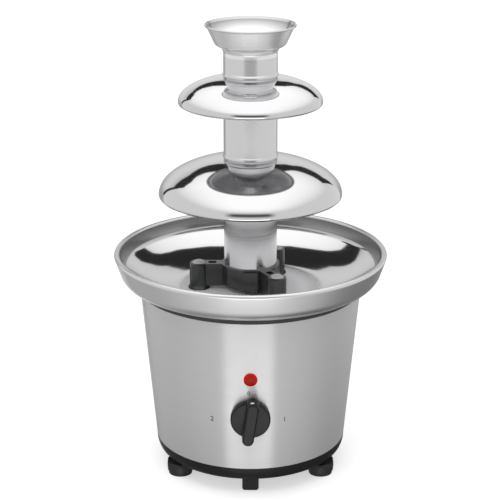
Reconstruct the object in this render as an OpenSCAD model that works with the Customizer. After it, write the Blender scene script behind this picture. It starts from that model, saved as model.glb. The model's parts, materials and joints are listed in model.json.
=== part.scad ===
// Table chocolate fountain: a heated bowl on a conical housing. An auger on the axis lifts
// melted chocolate through stacked tubes to a crown, from where it falls over two domed tiers.
// Millimetres, +Z up. The origin is on the table under the axis, and the front faces -Y.

/* [Base and feet] */
// Height of the base plate's underside above the table
base_underside = 14; // [13:0.5:20]
// Height of the black base edge
base_h = 12; // [10:0.5:18]
// How far the base edge draws in at its foot
base_draw = 6; // [3:0.5:8]
// Thickness of the base plate's floor
base_floor_t = 3; // [2:0.5:4]
// Height of the base plate's collar inside the housing
base_collar_h = 6; // [4:0.5:12]
// Number of vent slots in the base floor
vent_count = 12; // [6:1:16]
// Width of a vent slot
vent_w = 4; // [3:0.5:5]
// Width of the fixed front leg
leg_w = 14; // [10:0.5:20]
// Depth of the fixed front leg
leg_d = 12; // [8:0.5:16]
// Distance of the front leg's centre from the axis
leg_circle_r = 64; // [60:0.5:66]
// Radius of the circle that the levelling feet stand on
foot_circle_r = 70; // [66:0.5:71]
// Levelling foot, across the corners of its hexagon
foot_hex_d = 25.5; // [22:0.5:28]
// Levelling foot, diameter where it meets its pad
foot_low_d = 22; // [20:0.5:24]
// Height of the boss that a levelling foot stops against
foot_boss_h = 2.5; // [1.5:0.5:4]
// Diameter of a levelling foot's stud
foot_stud_d = 6; // [5:0.5:8]
// Travel of a levelling foot out of the base
foot_travel = 8; // [4:0.5:10]
// Thickness of the pad under a levelling foot
pad_h = 2; // [1.5:0.5:4]
// Diameter of the pad under a levelling foot
pad_d = 20; // [16:0.5:21]

/* [Housing] */
// Height of the conical housing
housing_h = 134; // [126:1:160]
// Outer radius of the housing at its foot
housing_foot_r = 82.2; // [81:0.2:86]
// Outer radius of the housing at its top
housing_top_r = 94.4; // [94:0.2:95]
// Thickness of the housing sheet
housing_t = 0.8; // [0.6:0.1:1.2]
// Width of the housing's inward top flange
housing_flange_w = 5; // [3:0.5:8]
// Height of the knob's axis above the base edge
knob_rise = 50; // [40:1:60]
// Height of the pilot lamp above the base edge
lamp_rise = 84; // [78:1:100]
// Height of the cord gland above the base edge, at the rear
gland_rise = 22; // [16:1:40]

/* [Bowl] */
// Thickness of the bowl sheet
bowl_t = 1; // [0.8:0.1:1.2]
// Height of the gasket between housing and bowl
gasket_h = 5; // [4:0.5:8]
// Largest radius of the bowl, at its lip
bowl_r = 115.9; // [114:0.2:118]
// Height of the lip above the gasket
bowl_rise = 27; // [25:0.5:30]
// Radius of the rolled lip
lip_round = 2.4; // [2:0.05:2.6]
// Lean of the skirt from upright, in degrees
skirt_lean = 19; // [16:0.5:20]
// Radius of the curve that turns the skirt under
skirt_round = 16; // [14:0.5:17]
// Depth of the bowl floor below the gasket's top
floor_drop = 7; // [5:0.5:9]
// Radius of the flat bowl floor
floor_r = 58; // [56:0.5:60]
// Radius of the crease between dish and rim band
crease_r = 109.4; // [108.6:0.1:110]
// Depth of the crease below the lip
crease_drop = 12.7; // [11:0.1:14]
// Radius of the circle of the three locating pins
pin_circle_r = 44; // [43:0.5:46]
// Diameter of a locating pin
pin_d = 11; // [8:0.5:12]
// Height of a pin's domed cap above the tower base
pin_cap_h = 2.3; // [1.5:0.1:4]

/* [Tower] */
// Outer diameter of the tubes
tube_d = 45; // [44:0.2:47]
// Wall of the tubes, the tiers and the crown
tower_t = 0.8; // [0.6:0.1:1]
// Gap under the tower base's ring, where chocolate flows in
ring_gap = 5.7; // [5:0.1:8]
// Height of the tower base's ring
ring_h = 17; // [14:0.5:22]
// Wall of the tower base's ring
ring_t = 2.2; // [1.6:0.1:3]
// Wall of a tower base boss round its pin
boss_t = 2.6; // [1.6:0.05:2.8]
// Gap under the arms of the tower base
arm_gap = 3.2; // [2:0.1:5]
// Width of an arm of the tower base
arm_w = 10.5; // [8:0.5:12]
// Height of the large tier's widest line above the bowl floor
large_rise = 84.3; // [80:0.1:100]
// Largest radius of the large tier
large_r = 77.2; // [70:0.2:85]
// Height of the full ellipse of the large tier above its widest line
large_h = 31.6; // [26:0.2:36]
// Height of the small tier's widest line above the large tier's
tier_step = 79; // [74:0.5:90]
// Largest radius of the small tier
small_r = 60.1; // [54:0.1:66]
// Height of the full ellipse of the small tier above its widest line
small_h = 21.5; // [18:0.1:26]
// Radius of a tier's rolled rim
tier_roll = 2.6; // [2:0.1:3.4]
// Height of the bead that a tube rests on
bead_h = 5; // [4:0.2:8]
// How far a bead stands proud of its tube
bead_proud = 0.8; // [0.4:0.1:1.2]
// Length of the spigot below a bead
spigot_l = 17; // [12:0.5:20]
// Height of the crown's plain tube above its bead
crown_tube_h = 16.4; // [10:0.2:24]
// Height of the crown's cup
cup_h = 22.6; // [20:0.2:28]
// Radius of the cup at its lip
cup_r = 37.8; // [36:0.2:42]

/* [Auger and drive] */
// Outer diameter of the auger
auger_d = 39; // [36:0.2:39.4]
// Diameter of the auger's core
auger_core_d = 14; // [13:0.5:18]
// Rise of the auger in one turn
auger_pitch = 40; // [34:1:60]
// Part of a turn that the blade fills, in degrees
blade_angle = 32; // [26:1:50]
// Diameter of the drive shaft
shaft_d = 8; // [7:0.5:9]
// Height of the drive shaft above the bowl floor
shaft_rise = 26; // [22:0.5:34]
// Gear module
gear_module = 0.8; // [0.75:0.05:0.8]
// Teeth of each pinion
pinion_teeth = 12; // [12:1:13]
// Teeth of each wheel
wheel_teeth = 48; // [44:4:48]
// Radius of the motor case
motor_r = 30; // [28:0.5:32]
// Length of the motor case
motor_l = 39; // [34:0.5:44]
// Room between the heat spreader and the motor bracket
bracket_drop = 31.5; // [28:0.5:36]
// Radius of the circle of the tie rods
rod_circle_r = 52; // [51:0.5:53]
// Diameter of a tie rod
rod_d = 4; // [4:0.5:5]

/* [Controls] */
// Diameter of the knob's disc
knob_d = 33; // [28:0.5:38]
// Thickness of the knob's disc
knob_disc_h = 7; // [6.5:0.5:9]
// Length of the knob's grip bar
grip_l = 40.5; // [36:0.5:48]
// Width of the knob's grip bar
grip_w = 11; // [10:0.5:14]
// Height of the knob's grip bar above its disc
grip_h = 8.5; // [6:0.5:14]
// Clockwise lean of the knob at rest, in degrees
knob_lean = 8; // [0:1:10]
// Diameter of the switch shaft
switch_shaft_d = 6; // [5:0.5:6.5]
// Diameter of the pilot lamp's lens
lamp_d = 11.4; // [11:0.2:14]
// Height of the pilot lamp's lens
lamp_h = 2.4; // [1.6:0.2:4]

/* [Clearances] */
// Radial clearance of a running fit
running = 0.05; // [0.03:0.01:0.08]
// Radial clearance of a lift-off fit
lift_fit = 0.1; // [0.06:0.01:0.1]
// Clearance of a fixed piece in its hole or recess
fixed_gap = 0.2; // [0.1:0.05:0.3]
// Clearance between moving pieces that don't fit each other
free_gap = 0.8; // [0.5:0.1:1]
// Backlash of a gear mesh, along the pitch circle
backlash = 0.16; // [0.12:0.01:0.2]

/* [Hidden] */
$fn = 96;

// Heights of the main levels
base_top = base_underside + base_h;
housing_top = base_top + housing_h;
skirt_z = housing_top + gasket_h;
floor_z = skirt_z - floor_drop;
lip_top = skirt_z + bowl_rise;
crease_z = lip_top - crease_drop;
ring_z = floor_z + ring_gap;
ring_top = ring_z + ring_h;
large_z = floor_z + large_rise;
small_z = large_z + tier_step;

// Housing cone, and how deep its holes are punched
punch = 10;
cone_lean = atan((housing_top_r - housing_foot_r) / housing_h);
function housing_r(z) = housing_foot_r + (z - base_top) * tan(cone_lean);

// Tubes and tiers
tube_r = tube_d / 2;
tube_in = tube_r - tower_t;
spigot_r = tube_in - lift_fit;
ledge_t = 1.5;
ledge_r = auger_d / 2 + free_gap;
large_top = tier_top(large_z, large_r, large_h);
small_top = tier_top(small_z, small_r, small_h);
crown_top = small_top + bead_h + crown_tube_h;
dome_steps = 18;
roll_steps = 8;
roll_from = -15;
roll_to = -130;

// Tower base
ring_r = tube_r + ring_t;
boss_r = pin_d / 2 + lift_fit + boss_t;
boss_flare = 1.2;
boss_flare_h = 3;
boss_foot_h = 0.8;
// Clearance under a boss, which stands on the bowl's floor
boss_seat_gap = 0.05;
boss_draft = 0.3;
boss_bevel = 0.7;
pocket_wall = 2.6;
pocket_l = 6.6;
pocket_depth = 12;
rib_w = 11.9;
rib_proud = 1.6;
rib_foot_w = 9;
rib_foot_gap = 2.8;
rib_foot_in = 0.6;
rib_drop = 1;
tube_fit = fixed_gap / 4;
pin_angles = [180, -60, 60];
pin_tail_d = 6;
pin_tail_l = 5;
nut_d = 10;
nut_h = 4;

// Push-on terminals
tab_t = 0.8;
tab_w = 4.8;
tab_l = 7;

// Under the bowl
spreader_t = 3;
spreader_r = floor_r - 2;
spreader_z = floor_z - bowl_t - spreader_t;
heater_r = 30;
heater_tube_r = 3.2;
heater_sweep = 320;
heater_tail = 14;
bush_r = 6;
bush_flange_r = 10;
bush_flange_h = 4;
bush_l = 16;
seal_r = 9;
seal_h = 3.5;
seal_lip_w = 3;
seal_lip_h = 1.5;
gasket_w = 3.8;
gasket_proud = 1.2;
gasket_edge = 0.6;
skirt_seat = 0.6;
dish_gap = 1;
thermostat_d = 17;
thermostat_h = 9;
thermostat_in = 2;
thermostat_tabs = 8;

// Auger
auger_drop = 2;
auger_z = floor_z + seal_h + free_gap;
auger_top = crown_top - auger_drop;
shaft_top = floor_z + shaft_rise;
flat_depth = 1;
auger_slices_per_turn = 22;
blade_root_angle = blade_angle + 22;
blade_steps = 5;
core_steps = 14;

// Motor and gears, from the bracket down
rod_angles = [45, 135, 225, 315];
spacer_r = 4;
bracket_t = 2.5;
bracket_arm_w = 16;
bracket_hole_d = shaft_d + 4;
bracket_top = spreader_z - bracket_drop;
bracket_z = bracket_top - bracket_t;
case_wall = 2;
case_h = 20;
case_z = bracket_z - case_h;
plate_t = 3;
plate_z = case_z - plate_t;
motor_z = plate_z - motor_l;
gear_gap = 1.5;
wheel_w = 4;
pinion_w = 5.5;
pinion_over = 1;
hub_t = 4;
hub_over = 2;
centre_distance = gear_module * (pinion_teeth + wheel_teeth) / 2;
wheel_addendum = 0.75;
pinion_addendum = 1;
dedendum = 1.25;
pressure_angle = 20;
flank_steps = 4;
wheel_tip_r = gear_module * (wheel_teeth / 2 + wheel_addendum);
case_r = wheel_tip_r + free_gap + case_wall;
low_wheel_z = case_z + gear_gap;
low_pinion_top = low_wheel_z + wheel_w + pinion_over;
high_wheel_z = low_pinion_top + gear_gap;
high_pinion_z = low_wheel_z + wheel_w;
high_pinion_top = high_wheel_z + wheel_w + pinion_over;
idler_pin_d = 4;
rotor_shaft_d = 4;
motor_wall = 1.2;
motor_foot_t = 3;
shaft_end = 0.5;
winding_h = 4;
winding_in = 3;
winding_out = 2;
rotor_r = 16;
rotor_l = 24;
air_gap = 0.8;
rotor_z = motor_z + (motor_l - rotor_l) / 2;
ear_r = 5;
screw_d = 4;
screw_head_d = 7;
screw_head_h = 2.5;
ear_reach = case_r + ear_r - case_wall;
ear_places = [[-ear_reach, 0], [centre_distance / 2, ear_reach], [centre_distance / 2, -ear_reach]];

// Base plate
collar_t = 3;
collar_r = housing_foot_r - housing_t - fixed_gap;
rod_boss_r = 7.5;
rod_boss_h = 8;
vent_in = 18;
vent_out = 40;
foot_boss_t = 3;
leg_corner = 2.5;
leg_root = 1;
edge_steps = 8;
rod_end = 0.5;
nut_inset = 1;
nut_room = 1;
foot_angles = [-150, -30, 90];
insert_r = foot_stud_d / 2 + 1.2;
insert_h = 10;
foot_top = base_underside - foot_boss_h;
foot_lip_h = 2.5;
foot_lip_r = foot_hex_d / 2 - 0.2;
foot_waist = 0.7;
foot_bevel = 0.6;
foot_toe = 1;
stud_root = 1;
pivot_d = 6;
pivot_h = 2;
pivot_room = 0.3;

// Controls
knob_z = base_top + knob_rise;
lamp_z = base_top + lamp_rise;
gland_z = base_top + gland_rise;
switch_bush_d = 10;
switch_bush_h = 4;
switch_w = 27;
switch_h = 22;
switch_wall_r = housing_r(knob_z);
switch_front = housing_t + fixed_gap + switch_wall_r - sqrt(pow(switch_wall_r, 2) - pow(switch_w / 2, 2));
switch_back = switch_front + switch_h;
shaft_pit = switch_front + switch_h / 2;
switch_nut_d = 15;
switch_nut_h = 2.5;
knob_gap = 0.8;
knob_recess_d = switch_nut_d + 3;
knob_bevel = 1.2;
grip_foot = 2;
grip_draft = 0.8;
grip_bevel = 1.5;
knob_recess_h = switch_bush_h + free_gap - knob_gap;
shaft_in_knob = 12;
lamp_stem_d = lamp_d - 2;
lamp_stem_l = 14;
lamp_body_l = 18;
lens_edge_h = 0.8;
lens_seat = 0.15;
gland_d = 12;
gland_bore_d = 7.5;
gland_flange = 2;
gland_lip = 2;
gland_depth = housing_t + 6;

// Colours
steel = [0.80, 0.80, 0.81];
polished = [0.88, 0.88, 0.89];
black_plastic = [0.16, 0.16, 0.17];
rubber_black = [0.09, 0.09, 0.09];
aluminium = [0.70, 0.71, 0.73];
copper = [0.72, 0.42, 0.20];
brass = [0.78, 0.62, 0.30];
nylon = [0.90, 0.89, 0.84];
lens_red = [0.78, 0.08, 0.06];
pin_grey = [0.55, 0.55, 0.55];

// Outlines in the plane of radius and height

function reversed(list) = [for (i = [len(list) - 1:-1:0]) list[i]];
function unit(v) = v / norm(v);
function right_of(v) = [v[1], -v[0]];
function arc(centre, r, from, to, steps) =
    [for (i = [0:steps]) let (a = from + (to - from) * i / steps) centre + r * [cos(a), sin(a)]];

// Normal on the right of a path at point i, and how far a mitred corner reaches along it
function step_normal(path, i) = right_of(unit(path[i + 1] - path[i]));
function normal_in(path, i) = step_normal(path, max(i - 1, 0));
function normal_out(path, i) = step_normal(path, min(i, len(path) - 2));
function mitre(path, i) =
    let (n = unit(normal_in(path, i) + normal_out(path, i))) n / (n * normal_in(path, i));
function inset(path, t) = [for (i = [0:len(path) - 1]) path[i] + t * mitre(path, i)];

// Closed section of sheet metal whose visible face is on the left of the path
function sheet(path, t) = concat(path, reversed(inset(path, t)));

// Height at which a tier's ellipse meets the tube
function tier_top(z, r, h) = z + h * sqrt(1 - pow(tube_r / r, 2));

// Tier from its hole down the ellipse to the widest line, then round the rolled rim
function tier_path(z, r, h) =
    let (start = acos(tube_r / r))
    concat(
        [for (i = [0:dome_steps]) let (a = start * (1 - i / dome_steps)) [r * cos(a), z + h * sin(a)]],
        arc([r - tier_roll, z], tier_roll, roll_from, roll_to, roll_steps)
    );

// Bowl from its centre hole over dish, rim band and lip, then down the skirt and under
gasket_r = housing_top_r + gasket_proud;
gasket_in = gasket_r - gasket_w;
lip_centre = [bowl_r - lip_round, lip_top - lip_round];
// The dish starts at the floor's edge, or nearer the axis where it has to clear a narrow gasket
dish_rise = crease_z - floor_z;
mouth_share = sqrt((floor_drop + bowl_t + dish_gap) / dish_rise);
dish_from = min(floor_r, (gasket_in - mouth_share * crease_r) / (1 - mouth_share));
dish_run = crease_r - dish_from;
dish_round = (dish_run * dish_run + dish_rise * dish_rise) / (2 * dish_rise);
dish_turn = atan2(dish_run, dish_round - dish_rise);
to_lip = lip_centre - [crease_r, crease_z];
band_slope = atan2(to_lip[1], to_lip[0]) + asin(lip_round / norm(to_lip));
lip_end = lip_centre + lip_round * [cos(skirt_lean), -sin(skirt_lean)];
// The turn-under is a fillet between the skirt's straight run and its seat on the gasket
run_foot_r = lip_end[0] - (lip_end[1] - skirt_z) * tan(skirt_lean);
fillet_share = (1 - sin(skirt_lean)) / cos(skirt_lean);
skirt_fillet = min(skirt_round, (run_foot_r - housing_top_r) / fillet_share);
bend_centre = [run_foot_r - skirt_fillet * fillet_share, skirt_z + skirt_fillet];
skirt_foot_r = housing_top_r - skirt_seat;
function bowl_path() = concat(
    [[bush_r + fixed_gap, floor_z]],
    arc([dish_from, floor_z + dish_round], dish_round, -90, -90 + dish_turn, 12),
    arc(lip_centre, lip_round, 90 + band_slope, -skirt_lean, 10),
    arc(bend_centre, skirt_fillet, -skirt_lean, -90, 12),
    [[skirt_foot_r, skirt_z]]
);

// Spigot, bead and plain tube up to a height, as the outer face of a tube that stacks
bead_steps = 8;
seat_draw = 0.25;
seat_t = 1;
function stack_path(seat, top) = concat(
    [[tube_r, top], [tube_r, seat + bead_h]],
    [for (i = [1:bead_steps]) let (u = i / bead_steps)
        [tube_r - seat_draw * u + bead_proud * sin(180 * u), seat + bead_h * (1 - u)]],
    [[spigot_r, seat], [spigot_r, seat - spigot_l]]
);
stack_in = spigot_r - tower_t;
function stack_section(seat, top) = concat(
    stack_path(seat, top),
    [[stack_in, seat - spigot_l], [stack_in, seat + seat_t], [tube_in, seat + bead_h], [tube_in, top]]
);

// Crown: the same foot, with the cup opening above its tube
neck_out = 1.6;
neck_up = 3.4;
step_r = 27.4;
step_up = 5;
shoulder_r = 29.6;
shoulder_up = 6.6;
flare_r = 31.6;
flare_up = 11;
cup_lip_round = 0.9;
under_lip = 2.4 * cup_lip_round;
cup_walls = 5;
cup_lip = [cup_r - cup_lip_round, crown_top + cup_h - cup_lip_round];
function cup_path() = concat(
    [[tube_r, crown_top]],
    [[tube_r + neck_out, crown_top + neck_up], [step_r, crown_top + step_up]],
    [[shoulder_r, crown_top + shoulder_up], [flare_r, crown_top + flare_up]],
    [[cup_r - 2 * cup_lip_round, crown_top + cup_h - under_lip]],
    arc(cup_lip, cup_lip_round, -40, 170, roll_steps)
);
function crown_section() =
    let (outer = cup_path(), inner = inset([for (i = [0:cup_walls]) outer[i]], -tower_t))
    concat(
        reversed(stack_path(small_top, crown_top)),
        [for (i = [1:len(outer) - 1]) outer[i]],
        reversed(inner),
        [[tube_in, crown_top], [tube_in, small_top + bead_h], [stack_in, small_top + seat_t],
         [stack_in, small_top - spigot_l]]
    );

// Gear outlines: involute flanks above the base circle and straight ones below it

function involute(a) = tan(a) * 180 / PI - a;
function flank_angle(teeth, r) =
    let (pitch_r = gear_module * teeth / 2, base_r = pitch_r * cos(pressure_angle))
    (90 - 90 * backlash / (PI * gear_module)) / teeth + involute(pressure_angle)
        - (r > base_r ? involute(acos(base_r / r)) : 0);
function flank_radii(teeth, addendum) =
    let (
        pitch_r = gear_module * teeth / 2,
        root = pitch_r - dedendum * gear_module,
        low = max(root + 0.01, pitch_r * cos(pressure_angle)),
        tip = pitch_r + addendum * gear_module
    )
    concat([root], [for (i = [0:flank_steps]) low + (tip - low) * i / flank_steps]);
function tooth(teeth, addendum, turn) =
    let (radii = flank_radii(teeth, addendum))
    concat(
        [for (r = radii) let (a = turn - flank_angle(teeth, r)) r * [cos(a), sin(a)]],
        [for (r = reversed(radii)) let (a = turn + flank_angle(teeth, r)) r * [cos(a), sin(a)]]
    );
function gear_points(teeth, addendum, phase) =
    [for (i = [0:teeth - 1]) for (p = tooth(teeth, addendum, phase + i * 360 / teeth)) p];

// Shared shapes

module revolve(points) {
    rotate_extrude() polygon(points);
}

module ring(outer, inner, h) {
    difference() {
        cylinder(r = outer, h = h);
        translate([0, 0, -1]) cylinder(r = inner, h = h + 2);
    }
}

module at_circle(r, angles) {
    for (a = angles) rotate([0, 0, a]) translate([r, 0, 0]) children();
}

// Places children on the housing's face at a height, their +Z out of it
module on_housing(z, turn = 0) {
    rotate([0, 0, turn]) translate([0, -housing_r(z), z]) rotate([90 + cone_lean, 0, 0]) children();
}

// Cutter through the housing sheet for a round piece of diameter d
module punched_hole(d) {
    translate([0, 0, -punch / 2]) cylinder(d = d + 2 * fixed_gap, h = punch);
}

module slot(from, to, w, h) {
    translate([from, -w / 2, 0]) cube([to - from, w, h]);
    translate([from, 0, 0]) cylinder(d = w, h = h, $fn = 32);
    translate([to, 0, 0]) cylinder(d = w, h = h, $fn = 32);
}

module gear_body(teeth, addendum, phase, h) {
    linear_extrude(h) polygon(gear_points(teeth, addendum, phase));
}

module hex_nut(across, bore, h) {
    difference() {
        cylinder(d = across, h = h, $fn = 6);
        translate([0, 0, -1]) cylinder(d = bore, h = h + 2, $fn = 48);
    }
}

// Pair of flat tabs that point down from the origin, for push-on connectors
module terminals(spacing) {
    for (x = [-spacing / 2, spacing / 2])
        translate([x - tab_t / 2, -tab_w / 2, -tab_l]) cube([tab_t, tab_w, tab_l]);
}

// Outline of the gear case and its plate: two round ends with a straight run between
module case_outline(r, h) {
    cylinder(r = r, h = h);
    translate([centre_distance, 0, 0]) cylinder(r = r, h = h);
    translate([0, -r, 0]) cube([centre_distance, 2 * r, h]);
}

module at_ears() {
    for (p = ear_places) translate([p[0], p[1], 0]) children();
}

// Housing and base

module housing_shell() {
    low_in = housing_foot_r - housing_t;
    high_in = housing_top_r - housing_t;
    flange_in = high_in - housing_flange_w;
    color(steel) difference() {
        revolve([
            [low_in, base_top], [housing_foot_r, base_top], [housing_top_r, housing_top],
            [flange_in, housing_top], [flange_in, housing_top - housing_t],
            [high_in, housing_top - housing_t]
        ]);
        on_housing(knob_z) punched_hole(switch_bush_d);
        on_housing(lamp_z) punched_hole(lamp_stem_d);
        on_housing(gland_z, 180) punched_hole(gland_d);
    }
}

// Black moulding: rounded edge, collar inside the housing, floor with vents, bosses and leg
module base_plate() {
    edge_in = collar_r - collar_t;
    floor_top = base_underside + base_floor_t;
    edge = [for (i = [0:edge_steps]) let (a = 90 * i / edge_steps)
        [housing_foot_r - base_draw + base_draw * sin(a), base_underside + base_h * (1 - cos(a))]];
    color(black_plastic) difference() {
        union() {
            revolve(concat(
                [[0, base_underside]], edge,
                [[collar_r, base_top], [collar_r, base_top + base_collar_h],
                 [edge_in, base_top + base_collar_h], [edge_in, floor_top], [0, floor_top]]
            ));
            at_circle(foot_circle_r, foot_angles)
                translate([0, 0, foot_top]) cylinder(r = insert_r + foot_boss_t, h = insert_h + foot_boss_h);
            at_circle(rod_circle_r, rod_angles)
                translate([0, 0, base_underside]) cylinder(r = rod_boss_r, h = rod_boss_h);
            front_leg();
        }
        at_circle(foot_circle_r, foot_angles)
            translate([0, 0, foot_top - 1]) cylinder(r = insert_r, h = insert_h + foot_boss_h + 2);
        at_circle(rod_circle_r, rod_angles) {
            translate([0, 0, base_underside - 1]) cylinder(d = nut_d + nut_room, h = nut_inset + nut_h + 1);
            translate([0, 0, base_underside]) cylinder(d = rod_d + 2 * fixed_gap, h = rod_boss_h + 1);
        }
        for (i = [0:vent_count - 1]) rotate([0, 0, 360 * i / vent_count])
            translate([0, 0, base_underside - 1])
                slot(vent_in, vent_out, vent_w, base_floor_t + 2);
    }
}

// Fixed leg under the front edge, with rounded lower corners
module front_leg() {
    translate([0, -leg_circle_r, 0]) rotate([90, 0, 0])
        translate([0, 0, -leg_d / 2]) linear_extrude(leg_d) polygon(concat(
            arc([leg_w / 2 - leg_corner, leg_corner], leg_corner, -90, 0, 6),
            [[leg_w / 2, base_underside + leg_root], [-leg_w / 2, base_underside + leg_root]],
            arc([-leg_w / 2 + leg_corner, leg_corner], leg_corner, 180, 270, 6)
        ));
}

module foot_inserts() {
    color(brass) at_circle(foot_circle_r, foot_angles)
        translate([0, 0, foot_top]) ring(insert_r, foot_stud_d / 2 + running, insert_h + foot_boss_h);
}

// Hexagonal foot with a lip at its top, a taper below it, a stud above and a pivot hole below
module levelling_foot(angle) {
    body_h = foot_top - pad_h;
    stud_l = insert_h + foot_boss_h + foot_travel / 2;
    color(black_plastic) at_circle(foot_circle_r, [angle]) {
        difference() {
            intersection() {
                translate([0, 0, pad_h]) cylinder(d = foot_hex_d, h = body_h, $fn = 6);
                revolve([
                    [0, pad_h], [foot_low_d / 2 - foot_toe, pad_h], [foot_low_d / 2, pad_h + foot_toe],
                    [foot_lip_r - foot_waist, foot_top - foot_lip_h], [foot_lip_r, foot_top - foot_lip_h],
                    [foot_lip_r, foot_top - foot_bevel], [foot_lip_r - foot_bevel, foot_top],
                    [0, foot_top]
                ]);
            }
            translate([0, 0, pad_h - 1]) cylinder(d = pivot_d + 2 * running, h = pivot_h + pivot_room + 1);
        }
        translate([0, 0, foot_top - stud_root]) cylinder(d = foot_stud_d, h = stud_l + stud_root);
    }
}

module foot_pad(angle) {
    color(rubber_black) at_circle(foot_circle_r, [angle]) {
        cylinder(d = pad_d, h = pad_h);
        cylinder(d = pivot_d, h = pad_h + pivot_h);
    }
}

module levelling_foot_left() {
    levelling_foot(foot_angles[0]);
}

module levelling_foot_right() {
    levelling_foot(foot_angles[1]);
}

module levelling_foot_rear() {
    levelling_foot(foot_angles[2]);
}

module foot_pad_left() {
    foot_pad(foot_angles[0]);
}

module foot_pad_right() {
    foot_pad(foot_angles[1]);
}

module foot_pad_rear() {
    foot_pad(foot_angles[2]);
}

module cord_gland() {
    color(rubber_black) on_housing(gland_z, 180) difference() {
        union() {
            cylinder(d = gland_d + 2 * gland_lip, h = gland_flange);
            translate([0, 0, -gland_depth]) cylinder(d = gland_d, h = gland_depth + gland_flange);
        }
        translate([0, 0, -gland_depth - 1]) cylinder(d = gland_bore_d, h = gland_depth + gland_flange + 2);
    }
}

// Bowl and what hangs under it

module bowl() {
    color(polished) difference() {
        revolve(sheet(bowl_path(), bowl_t));
        at_circle(pin_circle_r, pin_angles)
            translate([0, 0, floor_z - bowl_t - 1]) cylinder(d = pin_tail_d + 2 * fixed_gap, h = bowl_t + 2);
    }
}

module bowl_gasket() {
    color(rubber_black) revolve([
        [gasket_in, housing_top], [gasket_r - gasket_edge, housing_top],
        [gasket_r, housing_top + gasket_edge], [gasket_r, skirt_z - gasket_edge],
        [gasket_r - gasket_edge, skirt_z], [gasket_in, skirt_z]
    ]);
}

// Pins that the tower base drops over, each with a domed cap and a threaded tail
module locating_pins() {
    r = pin_d / 2;
    cap_round = (r * r + pin_cap_h * pin_cap_h) / (2 * pin_cap_h);
    cap_half = asin(r / cap_round);
    color(pin_grey) at_circle(pin_circle_r, pin_angles) {
        revolve(concat(
            [[0, floor_z], [r, floor_z]],
            arc([0, ring_top + pin_cap_h - cap_round], cap_round, 90 - cap_half, 90, 6)
        ));
        tail = bowl_t + spreader_t + pin_tail_l;
        translate([0, 0, floor_z - tail]) cylinder(d = pin_tail_d, h = tail + 1);
    }
}

module pin_nuts() {
    color(steel) at_circle(pin_circle_r, pin_angles)
        translate([0, 0, spreader_z - nut_h]) hex_nut(nut_d, pin_tail_d, nut_h);
}

module heat_spreader() {
    color(aluminium) difference() {
        translate([0, 0, spreader_z]) ring(spreader_r, bush_r + fixed_gap, spreader_t);
        at_circle(pin_circle_r, pin_angles)
            translate([0, 0, spreader_z - 1]) cylinder(d = pin_tail_d + 2 * fixed_gap, h = spreader_t + 2);
        at_circle(rod_circle_r, rod_angles)
            translate([0, 0, spreader_z - 1]) cylinder(d = rod_d + 2 * fixed_gap, h = spreader_t + 2);
    }
}

// Tubular element: most of a turn under the spreader, with two terminals down
module heater_ring() {
    gap = (360 - heater_sweep) / 2;
    color(steel) translate([0, 0, spreader_z - heater_tube_r]) {
        rotate([0, 0, gap]) rotate_extrude(angle = heater_sweep)
            translate([heater_r, 0]) circle(r = heater_tube_r);
        at_circle(heater_r, [gap, -gap]) {
            sphere(r = heater_tube_r);
            translate([0, 0, -heater_tail]) cylinder(r = heater_tube_r, h = heater_tail);
        }
    }
}

module thermostat() {
    color(black_plastic) translate([0, thermostat_in - pin_circle_r, spreader_z - thermostat_h]) {
        cylinder(d = thermostat_d, h = thermostat_h);
        terminals(thermostat_tabs);
    }
}

module shaft_bush() {
    color(brass) difference() {
        union() {
            translate([0, 0, floor_z - bush_l]) cylinder(r = bush_r, h = bush_l);
            translate([0, 0, spreader_z - bush_flange_h]) cylinder(r = bush_flange_r, h = bush_flange_h);
        }
        translate([0, 0, floor_z - bush_l - 1]) cylinder(d = shaft_d + 2 * running, h = bush_l + 2);
    }
}

module shaft_seal() {
    color(rubber_black) translate([0, 0, floor_z]) difference() {
        revolve([
            [0, 0], [seal_r, 0], [seal_r, seal_h - seal_lip_h], [seal_r - seal_lip_w, seal_h], [0, seal_h]
        ]);
        translate([0, 0, -1]) cylinder(d = shaft_d + 2 * lift_fit, h = seal_h + 2);
    }
}

// Clamping: rods hang from the bowl and pull it down on the housing and base

module tie_rods() {
    color(steel) at_circle(rod_circle_r, rod_angles)
        translate([0, 0, base_underside + rod_end])
            cylinder(d = rod_d, h = floor_z - bowl_t - base_underside - rod_end);
}

module rod_spacers() {
    color(aluminium) at_circle(rod_circle_r, rod_angles)
        translate([0, 0, bracket_top]) ring(spacer_r, rod_d / 2 + fixed_gap, bracket_drop);
}

module rod_nuts() {
    color(steel) at_circle(rod_circle_r, rod_angles) {
        translate([0, 0, bracket_z - nut_h]) hex_nut(nut_d, rod_d, nut_h);
        translate([0, 0, base_underside + nut_inset]) hex_nut(nut_d, rod_d, nut_h);
    }
}

module motor_bracket() {
    color(steel) difference() {
        union() {
            translate([0, 0, bracket_z]) cylinder(r = ear_reach + ear_r, h = bracket_t);
            for (a = rod_angles) rotate([0, 0, a]) {
                translate([0, -bracket_arm_w / 2, bracket_z]) cube([rod_circle_r, bracket_arm_w, bracket_t]);
                translate([rod_circle_r, 0, bracket_z]) cylinder(d = bracket_arm_w, h = bracket_t);
            }
        }
        translate([0, 0, bracket_z - 1]) cylinder(d = bracket_hole_d, h = bracket_t + 2);
        at_circle(rod_circle_r, rod_angles)
            translate([0, 0, bracket_z - 1]) cylinder(d = rod_d + 2 * fixed_gap, h = bracket_t + 2);
        at_ears() translate([0, 0, bracket_z - 1]) cylinder(d = screw_d + 2 * fixed_gap, h = bracket_t + 2);
    }
}

// Gear motor: the motor sits on the axis, and a compound idler brings the drive back to it

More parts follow.
